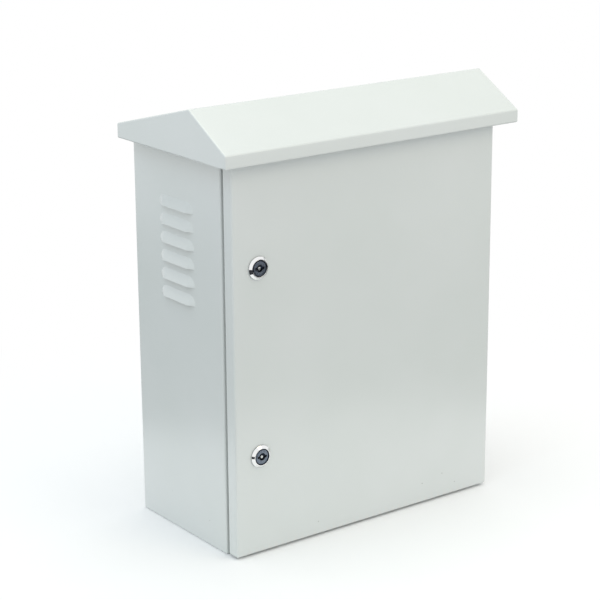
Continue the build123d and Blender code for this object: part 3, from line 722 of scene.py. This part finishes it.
def louvred_side(x, lines):
    """Side wall in bands between the cuts. The lowest row of a band is the open edge of its
    louvre, so it is pushed out, while the top row of the band below stays flat."""
    outward = math.copysign(1.0, x)
    edges = np.concatenate([[lines[2][0]], louvre_slots[::-1], [lines[2][-1]]])
    patches = []
    for number, (base, top) in enumerate(zip(edges[:-1], edges[1:])):
        z = lines[2][(lines[2] > base - EDGE_MARGIN) & (lines[2] < top + EDGE_MARGIN)]
        band = body_side(0, x, (lines[0], lines[1], z))
        if number:
            band[..., 0] += outward * louvre_bulge(band[..., 1], band[..., 2], base)
        patches.append(patch(band))
    return patches


crest = louvre_bulge(LOUVRE_MIDDLE_Y, louvre_slots[0], louvre_slots[0])
print("a louvre stands out", round(float(crest) * 1000, 2), "mm")

# %% Body shell
def body_lines():
    """Grid lines of the body in X, Y and Z, dense only where something bends."""
    x = merge_lines(
        round_lines(body_low[0], body_high[0], BEND),
        round_lines(lip_low[0] - SHEET, lip_high[0] + SHEET, LIP_CORNER),
        round_lines(cable_low[0], cable_high[0], CABLE_CORNER),
        *[hole_lines(centre, WALL_HOLE_SQUARE) for centre in wall_hole_x],
    )
    ends = LOUVRE_LENGTH / 2 - LOUVRE_HEIGHT
    cheek = ends + LOUVRE_HEIGHT * np.linspace(0, 1, 18)
    y = merge_lines(
        round_lines(body_low[1], body_high[1], BEND),
        round_lines(cable_low[1], cable_high[1], CABLE_CORNER),
        LOUVRE_MIDDLE_Y + cheek,
        LOUVRE_MIDDLE_Y - cheek,
        LOUVRE_MIDDLE_Y + np.linspace(-ends, ends, 5),
    )
    rise = LOUVRE_HEIGHT * np.concatenate([[0, 0.05], np.linspace(0.1, 0.9, 11), [0.94, 0.97, 1.0]])
    z = merge_lines(
        round_lines(body_low[2], body_high[2], BEND),
        round_lines(lip_low[1] - SHEET, lip_high[1] + SHEET, LIP_CORNER),
        (louvre_slots[:, None] + rise[None, :]).reshape(-1),
        *[hole_lines(centre, WALL_HOLE_SQUARE) for centre in wall_hole_z],
    )
    return x, y, z


def front_rim(lines):
    """Front face with the opening, the small gutter bend and the lip that stands forward."""
    x, y, z = lines
    low, high = lip_low - SHEET, lip_high + SHEET
    face = body_side(1, body_low[1], lines)
    size = (low[0], high[0], low[1], high[1])
    loop = rectangle_loop(x, z, *size)
    rows = [raise_loop(loop, 1, body_low[1])]
    for turn in np.linspace(0, math.pi / 2, 4):
        inset = SHEET * math.sin(turn)
        depth = body_low[1] - SHEET * (1 - math.cos(turn))
        rows.append(raise_loop(round_loop(loop, LIP_CORNER, inset), 1, depth))
    rows.append(raise_loop(round_loop(loop, LIP_CORNER, SHEET), 1, LIP_EDGE_Y))
    return [patch(face, ~within(x, z, *size)), patch(rows)]


def back_wall(lines):
    """Back with its four round fixing holes."""
    face = body_side(1, body_high[1], lines)
    return holed_wall(face, lines, body_high[1], wall_holes, WALL_HOLE_SQUARE, WALL_HOLE_RADIUS)


def floor_wall(lines):
    """Bottom with the cable cut-out, whose corners are filled in by small fans."""
    x, y, z = lines
    face = body_side(2, body_low[2], lines)
    size = (cable_low[0], cable_high[0], cable_low[1], cable_high[1])
    loop = rectangle_loop(x, y, *size)
    fans = ring_patch(loop, round_loop(loop, CABLE_CORNER), 2, body_low[2])
    return [patch(face, ~within(x, y, *size)), fans]


def build_body():
    """All six walls of the body as one sheet."""
    lines = body_lines()
    patches = front_rim(lines) + back_wall(lines) + floor_wall(lines)
    patches.append(patch(body_side(2, body_high[2], lines)))
    for x in (body_low[0], body_high[0]):
        patches += louvred_side(x, lines)
    return sheet_piece("body_shell", patches, "cabinet", "powder_coat")


body_shell = build_body()
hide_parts("cabinet_body")

# %% [markdown]
# The roof is one folded sheet: a lip turned in along the skirt, a front fascia, two slopes that
# meet in a soft ridge, and a rear fascia. Its gable ends are welded in. The folded part is a
# profile carried from side to side, and its ends shrink a little, which rounds the gable edges.

# %% Roof profile
ROOF_HALF = 0.222
ROOF_LIP = 0.008
ROOF_EDGE = 0.002
ROOF_BEND = 0.003
ROOF_GAP = 0.0005
GABLE_STEP = 0.0009
EAVE_MARGIN = 0.0020
ARC_STEPS = 4
SKIRT_Z = 0.4885
FRONT_EAVE_Z = 0.5045
REAR_EAVE_Z = 0.5067
RIDGE_Y = -0.0421
RIDGE_Z = 0.547
FRONT_Y = -0.1155
REAR_Y = 0.1155


def on_slope(y):
    """Height of the roof's slopes over a place between the eaves."""
    front = FRONT_EAVE_Z + (y - FRONT_Y) * (RIDGE_Z - FRONT_EAVE_Z) / (RIDGE_Y - FRONT_Y)
    rear = REAR_EAVE_Z + (REAR_Y - y) * (RIDGE_Z - REAR_EAVE_Z) / (REAR_Y - RIDGE_Y)
    return min(front, rear)


def bent_profile(corners):
    """Straight runs joined by arcs. A corner is (y, z, radius, foot): its arc touches both runs
    and comes out as points with their outward directions. foot is the place below it on the
    gable's bottom edge."""
    corners = np.array(corners, float)
    places = corners[:, :2]
    runs = np.diff(places, axis=0)
    runs /= np.linalg.norm(runs, axis=1, keepdims=True)
    outward = np.stack([-runs[:, 1], runs[:, 0]], axis=1)
    points, normals, feet = [places[:1]], [outward[:1]], [corners[:1, 3]]
    for place, radius, foot, before, after in zip(
        places[1:-1], corners[1:-1, 2], corners[1:-1, 3], outward[:-1], outward[1:]
    ):
        middle = (before + after) / np.linalg.norm(before + after)
        if radius == 0.0:
            points.append(place[None])
            normals.append(middle[None])
            feet.append(np.array([foot]))
            continue
        centre = place - radius * middle / float(middle @ before)
        turn = math.acos(max(-1.0, min(1.0, float(before @ after))))
        share = np.linspace(0, 1, ARC_STEPS + 1)[:, None]
        arc = (np.sin((1 - share) * turn) * before + np.sin(share * turn) * after) / math.sin(turn)
        points.append(centre + radius * arc)
        normals.append(arc)
        feet.append(np.full(ARC_STEPS + 1, foot))
    points.append(places[-1:])
    normals.append(outward[-1:])
    feet.append(corners[-1:, 3])
    return np.concatenate(points), np.concatenate(normals), np.concatenate(feet)


inner_y = REAR_Y - ROOF_LIP
roof_points, roof_normals, roof_feet = bent_profile(
    [
        (-inner_y, SKIRT_Z, 0, 0),
        (FRONT_Y, SKIRT_Z, ROOF_EDGE, 0),
        (FRONT_Y, FRONT_EAVE_Z, ROOF_BEND, FRONT_Y + ROOF_EDGE),
        (-inner_y, on_slope(-inner_y), 0, -inner_y),
        (body_low[1], on_slope(body_low[1]), 0, body_low[1]),
        (RIDGE_Y, RIDGE_Z, ROOF_BEND, RIDGE_Y),
        (inner_y, on_slope(inner_y), 0, inner_y),
        (REAR_Y, REAR_EAVE_Z, ROOF_BEND, REAR_Y - ROOF_EDGE),
        (REAR_Y, body_high[2], 0, 0),
        (REAR_Y, SKIRT_Z, ROOF_EDGE, 0),
        (inner_y, SKIRT_Z, 0, 0),
    ]
)
print("roof profile:", len(roof_points), "points, ridge at", roof_points[:, 1].max())

# %% Roof pieces
def folded_roof():
    """Profile carried along X. Within the edge radius of an end, at an angle a, the profile is
    inset by radius * (1 - cos a) while X goes on by radius * sin a."""
    turn = np.linspace(0, math.pi / 2, ARC_STEPS + 1)
    end = ROOF_HALF - ROOF_EDGE + ROOF_EDGE * np.sin(turn)
    lip_x, body_x = ROOF_HALF - ROOF_LIP, body_high[0] + ROOF_GAP
    x = np.concatenate([-end[::-1], [-lip_x, -body_x, body_x, lip_x], end])
    flat = np.zeros(4)
    inset = ROOF_EDGE * (1 - np.cos(turn))
    inset = np.concatenate([inset[::-1], flat, inset])
    profile = roof_points[None] - inset[:, None, None] * roof_normals[None]
    points = np.concatenate([np.broadcast_to(x[:, None, None], profile.shape[:2] + (1,)), profile], -1)
    over_body = (np.abs(middles(x)) < body_x)[:, None]
    rear_low = (middles(roof_points[:, 0]) > 0.1) & (middles(roof_points[:, 1]) < body_high[2])
    return patch(points, ~(over_body & rear_low[None, :]))


def gable(side):
    """Gable end: strips from the bend's start up to the inset profile, then the bend and lip
    below them, and a plain cut edge where the gable passes the door."""
    x = side * ROOF_HALF
    inset = roof_points - ROOF_EDGE * roof_normals
    upper = roof_points[:, 1] > FRONT_EAVE_Z - EAVE_MARGIN
    top, feet = inset[upper], roof_feet[upper]
    base_z = SKIRT_Z + ROOF_EDGE
    strips = np.zeros((2, len(top), 3))
    strips[..., 0] = x
    strips[0, :, 1], strips[0, :, 2] = feet, base_z
    strips[1, :, 1:] = top
    front, rear = -inner_y, float(body_low[1])
    step = np.array([[[x, y, z] for y in (front, rear)] for z in (base_z, SKIRT_Z + GABLE_STEP)])
    turn = np.linspace(0, math.pi / 2, ARC_STEPS + 1)
    across = np.append(ROOF_HALF - ROOF_EDGE * (1 - np.cos(turn)), ROOF_HALF - ROOF_LIP)
    levels = np.append(SKIRT_Z + ROOF_EDGE * (1 - np.sin(turn)), SKIRT_Z)
    feet_behind = np.unique(np.round(feet[(feet > rear - 1e-6) & (feet < inner_y + 1e-6)], 7))
    bend = np.zeros((len(across), len(feet_behind), 3))
    bend[..., 0] = side * across[:, None]
    bend[..., 1] = feet_behind[None, :]
    bend[..., 2] = levels[:, None]
    return [patch(strips), patch(step), patch(bend)]


def build_roof():
    """Folded part and both gable ends as one sheet."""
    patches = [folded_roof(), *gable(-1), *gable(1)]
    return sheet_piece("roof_sheet", patches, "cabinet", "powder_coat")


roof_sheet = build_roof()
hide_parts("roof_canopy")

# %% [markdown]
# The door is a tray: the sheet turns back on all four edges, and on the free side, the top and
# the bottom it turns in once more, which stiffens the edge. The hinge side ends in a plain edge
# with two notches for the hinge knuckles. It is the same round-edged box as the body, with only
# a narrow lip of its back left.

# %% Measures of the door
door_low = np.array([-0.200, -0.0945, 0.003])
door_high = np.array([0.200, -0.0765, 0.485])
DOOR_LIP = 0.008
HINGE_LEVELS = (0.078, 0.410)
NOTCH_HALF = 0.024
NOTCH_FRONT_Y = -0.0855
LOCK_SQUARE = 0.0125
LOCK_HOLE_RADIUS = 0.01015
LOCK_HOLE_FLAT = 0.00915
print("door", np.round((door_high - door_low) * 1000, 1), "mm")

# %% Door lines and bends
def door_lines():
    """Grid lines of the door, with lines for the inner lip, the notches and the lock holes."""
    x = merge_lines(
        round_lines(door_low[0], door_high[0], BEND),
        door_low[0] + DOOR_LIP,
        hole_lines(LOCK_X, LOCK_SQUARE),
    )
    y = merge_lines(round_lines(door_low[1], door_high[1], BEND), NOTCH_FRONT_Y)
    notches = [level + side * NOTCH_HALF for level in HINGE_LEVELS for side in (-1, 1)]
    z = merge_lines(
        round_lines(door_low[2], door_high[2], BEND),
        [door_low[2] + DOOR_LIP, door_high[2] - DOOR_LIP],
        notches,
        *[hole_lines(level, LOCK_SQUARE) for level in LOCK_LEVELS.values()],
    )
    return x, y, z


def door_bends(points):
    """Round-edged box whose rear bend stops short of the hinge side: there the core box reaches
    to the very back, so nothing is rounded towards the rear."""
    core_low, core_high = door_low + BEND, np.broadcast_to(door_high - BEND, points.shape).copy()
    at_hinges = points[..., 0] > door_high[0] - BEND + 1e-6
    core_high[..., 1] = np.where(at_hinges, door_high[1], door_high[1] - BEND)
    core = np.clip(points, core_low, core_high)
    away = points - core
    size = np.linalg.norm(away, axis=-1, keepdims=True)
    return core + BEND * away / np.maximum(size, 1e-9)


print("grid lines of the door in X, Y and Z:", [len(lines) for lines in door_lines()])

# %% Door tray
def door_front(lines):
    """Front with two lock holes: circles with a flat at each side, so a lock can't turn in it."""
    face = door_bends(box_side(1, door_low[1], lines))
    holes = [(LOCK_X, level) for level in LOCK_LEVELS.values()]
    return holed_wall(face, lines, door_low[1], holes, LOCK_SQUARE, LOCK_HOLE_RADIUS, LOCK_HOLE_FLAT)


def build_door():
    """Front, four returns, and the inner lip on three sides."""
    lines = door_lines()
    x, y, z = lines
    patches = door_front(lines)
    mouth = within(x, z, door_low[0] + DOOR_LIP, 1, door_low[2] + DOOR_LIP, door_high[2] - DOOR_LIP)
    keep = ~mouth & (middles(x) < door_high[0] - BEND)[:, None]
    patches.append(patch(door_bends(box_side(1, door_high[1], lines)), keep))
    for axis, value in ((0, door_low[0]), (2, door_low[2]), (2, door_high[2])):
        patches.append(patch(door_bends(box_side(axis, value, lines))))
    keep = np.ones((len(y) - 1, len(z) - 1), bool)
    for level in HINGE_LEVELS:
        keep &= ~within(y, z, NOTCH_FRONT_Y, 1, level - NOTCH_HALF, level + NOTCH_HALF)
    patches.append(patch(door_bends(box_side(0, door_high[0], lines)), keep))
    return sheet_piece("door_sheet", patches, "door", "powder_coat")


door_sheet = build_door()
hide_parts("door_panel")

# %% [markdown]
# Each lock has a chromed head with a wide bevel, a dark plug that turns in it, and a double-bit
# key hole around a small post. All of them are loops about the lock's axis: one loop is a radius
# for every angle at one depth, so a round hole can grow wings and a barrel can have two flats.

# %% Loops about a lock's axis
ANGLES = np.linspace(0, 2 * math.pi, 97)
DOOR_FRONT_Y = float(door_low[1])
SEAT_Y = DOOR_FRONT_Y - 0.0008
FACE_Y = SEAT_Y - 0.0032
CAM_FRONT_Y = -0.0688
SOFT_EDGE = 0.0003
HEAD_RADIUS = 0.0140
HEAD_LAND = 0.0006
BARREL_RADIUS = 0.010
BARREL_FLAT = 0.009
BARREL_PITCH = 0.001
BARREL_CUT = 0.00035
BARREL_ROWS = 0.00025
POCKET_RADIUS = 0.01026
POCKET_DEPTH = 0.0027
BORE_RADIUS = 0.00756
DISC_RADIUS = 0.0102
SHAFT_RADIUS = 0.0075
SQUARE_HALF = 0.0039
GROOVE_INNER = 0.0077
GROOVE_OUTER = 0.0089
GROOVE_DEPTH = 0.0005
EASED_EDGE = 0.0001
PLUG_FACE_Y = FACE_Y + 0.0003
SEAT_GAP = 0.00002
KEY_HOLE_DEPTH = 0.007
WING_REACH = 0.0067
WING_HALF = 0.0015
POST_RADIUS = 0.0019
POST_ROUND = 0.0006
NEAR_AXIS = 1e-6


def turned(loops, level):
    """Loops (radius or radii by angle, y) stacked into a grid about the lock's axis."""
    radii = np.array([np.broadcast_to(radius, ANGLES.shape) for radius, y in loops])
    depths = np.array([np.broadcast_to(y, ANGLES.shape) for radius, y in loops])
    x = LOCK_X + radii * np.cos(ANGLES)
    z = level + radii * np.sin(ANGLES)
    return np.stack([x, depths, z], axis=-1)


def turned_piece(name, grid, body, slot, sharp=40):
    """Closed turned surface, smooth except at its real corners."""
    mesh = join_patches(name, [patch(grid)])
    return keep_flats_flat(settle(add_piece(name, mesh, body, slot), sharp))


def soft_corner(radius, y, size, start, end, steps=4):
    """Quarter-like arc of a small size about (radius, y), between two directions in degrees."""
    turn = np.radians(np.linspace(start, end, steps + 1))
    return [(radius + size * math.cos(t), y + size * math.sin(t)) for t in turn]


print("locks at x =", LOCK_X, "and z =", sorted(LOCK_LEVELS.values()))

# %% Lock heads and barrels
def flat_sides(half, across):
    """Radius by angle of a flat: half its distance over the size of the cosine or sine."""
    return half / np.maximum(np.abs(across(ANGLES)), 1e-6)


def barrel_radius(y, start):
    """Threaded barrel with two flats: radius less the cut times a triangle wave of
    (height / pitch - share of a turn), limited by the flats."""
    phase = ((y - start) / BARREL_PITCH - ANGLES / (2 * math.pi)) % 1.0
    thread = BARREL_RADIUS - BARREL_CUT * np.abs(2 * phase - 1)
    return np.minimum(thread, flat_sides(BARREL_FLAT, np.cos))


def build_housing(name, level):
    """Head with a land, a bevel and a thin rim, a pocket for the plug, and the barrel behind."""
    bevel = math.degrees(math.atan2(0.0031, 0.0026))
    pocket_y = FACE_Y + POCKET_DEPTH
    rear_y = CAM_FRONT_Y - 0.0008
    loops = [(BARREL_RADIUS, SEAT_Y), (HEAD_RADIUS, SEAT_Y), (HEAD_RADIUS, SEAT_Y - 0.0005)]
    loops += soft_corner(HEAD_RADIUS - SOFT_EDGE, SEAT_Y - HEAD_LAND, SOFT_EDGE, 0, -bevel, 3)
    loops += soft_corner(0.01105, FACE_Y + SOFT_EDGE, SOFT_EDGE, -bevel, -90, 3)
    loops += soft_corner(0.01046, FACE_Y + 0.0002, 0.0002, -90, -180, 3)
    loops += [(POCKET_RADIUS, pocket_y), (BORE_RADIUS, pocket_y), (BORE_RADIUS, rear_y), (0.0095, rear_y)]
    rows = np.arange(rear_y, SEAT_Y, -BARREL_ROWS)
    loops += [(barrel_radius(y, rear_y), y) for y in rows[1:]]
    loops += [(BARREL_RADIUS, SEAT_Y)]
    return turned_piece(name, turned(loops, level), "door", "chrome_plate", 50)


for level_name, level in LOCK_LEVELS.items():
    housing = build_housing(f"{level_name}_lock_body", level)
    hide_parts(f"{level_name}_lock_housing")
print("two lock bodies")

# %% Lock plugs
def key_hole(margin=0.0):
    """Radius by angle of the key hole: a circle with a 3 mm wide wing to each side."""
    wing = np.minimum(flat_sides(WING_REACH, np.cos), flat_sides(WING_HALF, np.sin))
    return np.maximum(KEY_HOLE_RADIUS, wing) + margin


def build_plug(name, level, body):
    """Disc with a ring groove and a softened rim, the key hole, the shaft and a square end."""
    face = PLUG_FACE_Y
    back = FACE_Y + POCKET_DEPTH - SEAT_GAP
    floor_y, end_y = face + KEY_HOLE_DEPTH, CAM_FRONT_Y + 0.003
    square = np.minimum(flat_sides(SQUARE_HALF, np.cos), flat_sides(SQUARE_HALF, np.sin))
    loops = [(NEAR_AXIS, floor_y), (key_hole(), floor_y), (key_hole(), face + 0.00015)]
    loops += [(key_hole(0.00005), face + 0.00005), (key_hole(0.00015), face)]
    eased, groove_y = face + EASED_EDGE, face + GROOVE_DEPTH
    loops += [(GROOVE_INNER - EASED_EDGE, face), (GROOVE_INNER, eased), (GROOVE_INNER, groove_y)]
    loops += [(GROOVE_OUTER, groove_y), (GROOVE_OUTER, eased), (GROOVE_OUTER + EASED_EDGE, face)]
    loops += soft_corner(DISC_RADIUS - SOFT_EDGE, face + SOFT_EDGE, SOFT_EDGE, -90, 0, 3)
    loops += [(DISC_RADIUS, back), (SHAFT_RADIUS, back), (SHAFT_RADIUS, CAM_FRONT_Y)]
    loops += [(square, CAM_FRONT_Y), (square, end_y), (NEAR_AXIS, end_y)]
    return turned_piece(name, turned(loops, level), body, "lock_steel")


def build_post(name, level, body):
    """Round post with a rounded tip, its foot set into the plug."""
    tip, foot = PLUG_FACE_Y + 0.0006, PLUG_FACE_Y + KEY_HOLE_DEPTH + 0.002
    flat = POST_RADIUS - POST_ROUND
    loops = [(NEAR_AXIS, tip), (flat / 2, tip), (flat, tip)]
    loops += soft_corner(flat, tip + POST_ROUND, POST_ROUND, -90, 0)
    loops += [(POST_RADIUS, foot), (NEAR_AXIS, foot)]
    return turned_piece(name, turned(loops, level), body, "zinc_hardware", 60)


for level_name, level in LOCK_LEVELS.items():
    body = f"{level_name}_lock_plug"
    plug = build_plug(f"{level_name}_lock_turning_plug", level, body)
    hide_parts(f"{level_name}_lock_rotor")
    post = build_post(f"{level_name}_lock_post", level, body)
    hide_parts(f"{level_name}_lock_key_post")
print("two plugs with their posts")

# %% [markdown]
# Studs and screws carry a thread. A thread is a helix: going round once moves the ridge along by
# one pitch, so the radius only depends on the height less the share of a turn. The grid is
# fine along the rod. The far end has a chamfer, and both ends close on the axis.

# %% Threaded rods
THREAD_ANGLES = np.linspace(0, 2 * math.pi, 25)
THREAD_DEPTH = 0.495
THREAD_CHAMFER = 0.6
PLATE_STUD_Y = 0.1143


def threaded_rod(start, direction, length, radius, pitch):
    """Grid about an axis: radius = outer radius less the depth times a triangle wave of
    (height / pitch - share of a turn). The far end has a chamfer, and both ends are closed."""
    direction = np.array(direction, float)
    side = np.roll(np.abs(direction), 1)
    other = np.cross(direction, side)
    rows = np.linspace(0.0, length, int(length / pitch * 4) + 1)
    phase = (rows[:, None] / pitch - THREAD_ANGLES[None, :] / (2 * math.pi)) % 1.0
    radii = radius - THREAD_DEPTH * pitch * (1 - np.abs(2 * phase - 1))
    chamfer = np.minimum(radius - THREAD_CHAMFER * pitch + (length - rows), radius)
    radii = np.minimum(radii, chamfer[:, None])
    radii = np.pad(radii, ((1, 1), (0, 0)), constant_values=1e-7)
    rows = np.concatenate([[0.0], rows, [length]])
    ring = np.cos(THREAD_ANGLES)[:, None] * side + np.sin(THREAD_ANGLES)[:, None] * other
    return np.array(start) + rows[:, None, None] * direction + radii[..., None] * ring[None]


def threaded_piece(name, node_name, starts, direction, length, radius, pitch):
    """Replaces a node of plain rods by threaded ones."""
    grids = [patch(threaded_rod(start, direction, length, radius, pitch)) for start in starts]
    mesh = join_patches(name, grids)
    piece = settle(add_piece(name, mesh, body_of[node_name], "zinc_hardware"), 50)
    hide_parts(node_name)


behaviour = frame["record"]["behaviour"]
body_of = {name: body for body, names in behaviour["bodies"].items() for name in names}
plate_places = [(x, PLATE_STUD_Y, z) for x in (-0.145, 0.145) for z in (0.055, 0.445)]
threaded_piece("plate_threads", "mounting_studs", plate_places, (0, -1, 0), 0.032, 0.004, 0.00125)
entry_x, entry_y = (-0.1175, 0.0, 0.1175), (-0.047, 0.0155, 0.078)
entry_places = [(x, y, SHEET) for x in entry_x for y in entry_y if (x, y) != (entry_x[1], entry_y[1])]
threaded_piece("cable_plate_threads", "gland_plate_studs", entry_places, (0, 0, 1), 0.012, 0.0025, 0.0008)
for part, place, direction in (
    ("body", (0.175, PLATE_STUD_Y, 0.062), (0, -1, 0)),
    ("door", (-0.060, -0.0933, 0.042), (0, 1, 0)),
):
    name, node_name = f"{part}_earth_thread", f"{part}_earth_stud"
    threaded_piece(name, node_name, [place], direction, 0.020, 0.003, 0.001)
print("threaded studs in place")

# %% [markdown]
# Nuts, washers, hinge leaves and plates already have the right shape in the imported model, but
# every edge of theirs is knife sharp. A merged copy with a very small bevel takes their place,
# so that edges catch the light as pressed and turned parts do.

# %% Softened edges
def soften(name, width, sharp=30):
    """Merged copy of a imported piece, its flat faces joined, with a small bevel on every edge."""
    mesh = nodes[name].data.copy()
    mesh.name = name + "_soft"
    work = bmesh.new()
    work.from_mesh(mesh)
    bmesh.ops.remove_doubles(work, verts=work.verts, dist=1e-6)
    bmesh.ops.dissolve_limit(
        work, angle_limit=math.radians(1), verts=work.verts, edges=work.edges, delimit=set()
    )
    work.to_mesh(mesh)
    work.free()
    piece = add_piece(name + "_soft", mesh, body_of[name], slots[name])
    edge = piece.modifiers.new("soft_edges", "BEVEL")
    edge.width = width
    edge.segments = 2
    edge.limit_method = "ANGLE"
    edge.angle_limit = math.radians(sharp)
    edge.harden_normals = False
    settle(piece, sharp)
    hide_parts(name)


print("pieces by body:", {body: list(body_of.values()).count(body) for body in bodies})

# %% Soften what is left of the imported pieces
replaced = {"cabinet_body", "roof_canopy", "door_panel"}
replaced |= {"mounting_studs", "gland_plate_studs", "body_earth_stud", "door_earth_stud"}
replaced |= {f"{level}_lock_{part}" for level in LOCK_LEVELS for part in ("housing", "rotor", "key_post")}
PLAIN_WIDTH = 0.0003
widths = {"zinc_hardware": 0.00025, "foam_seal": 0.0004, "rubber_seal": 0.0002}
for name in sorted(set(nodes) - replaced):
    soften(name, widths.get(slots[name], PLAIN_WIDTH))
print(len(nodes) - len(replaced), "pieces softened")
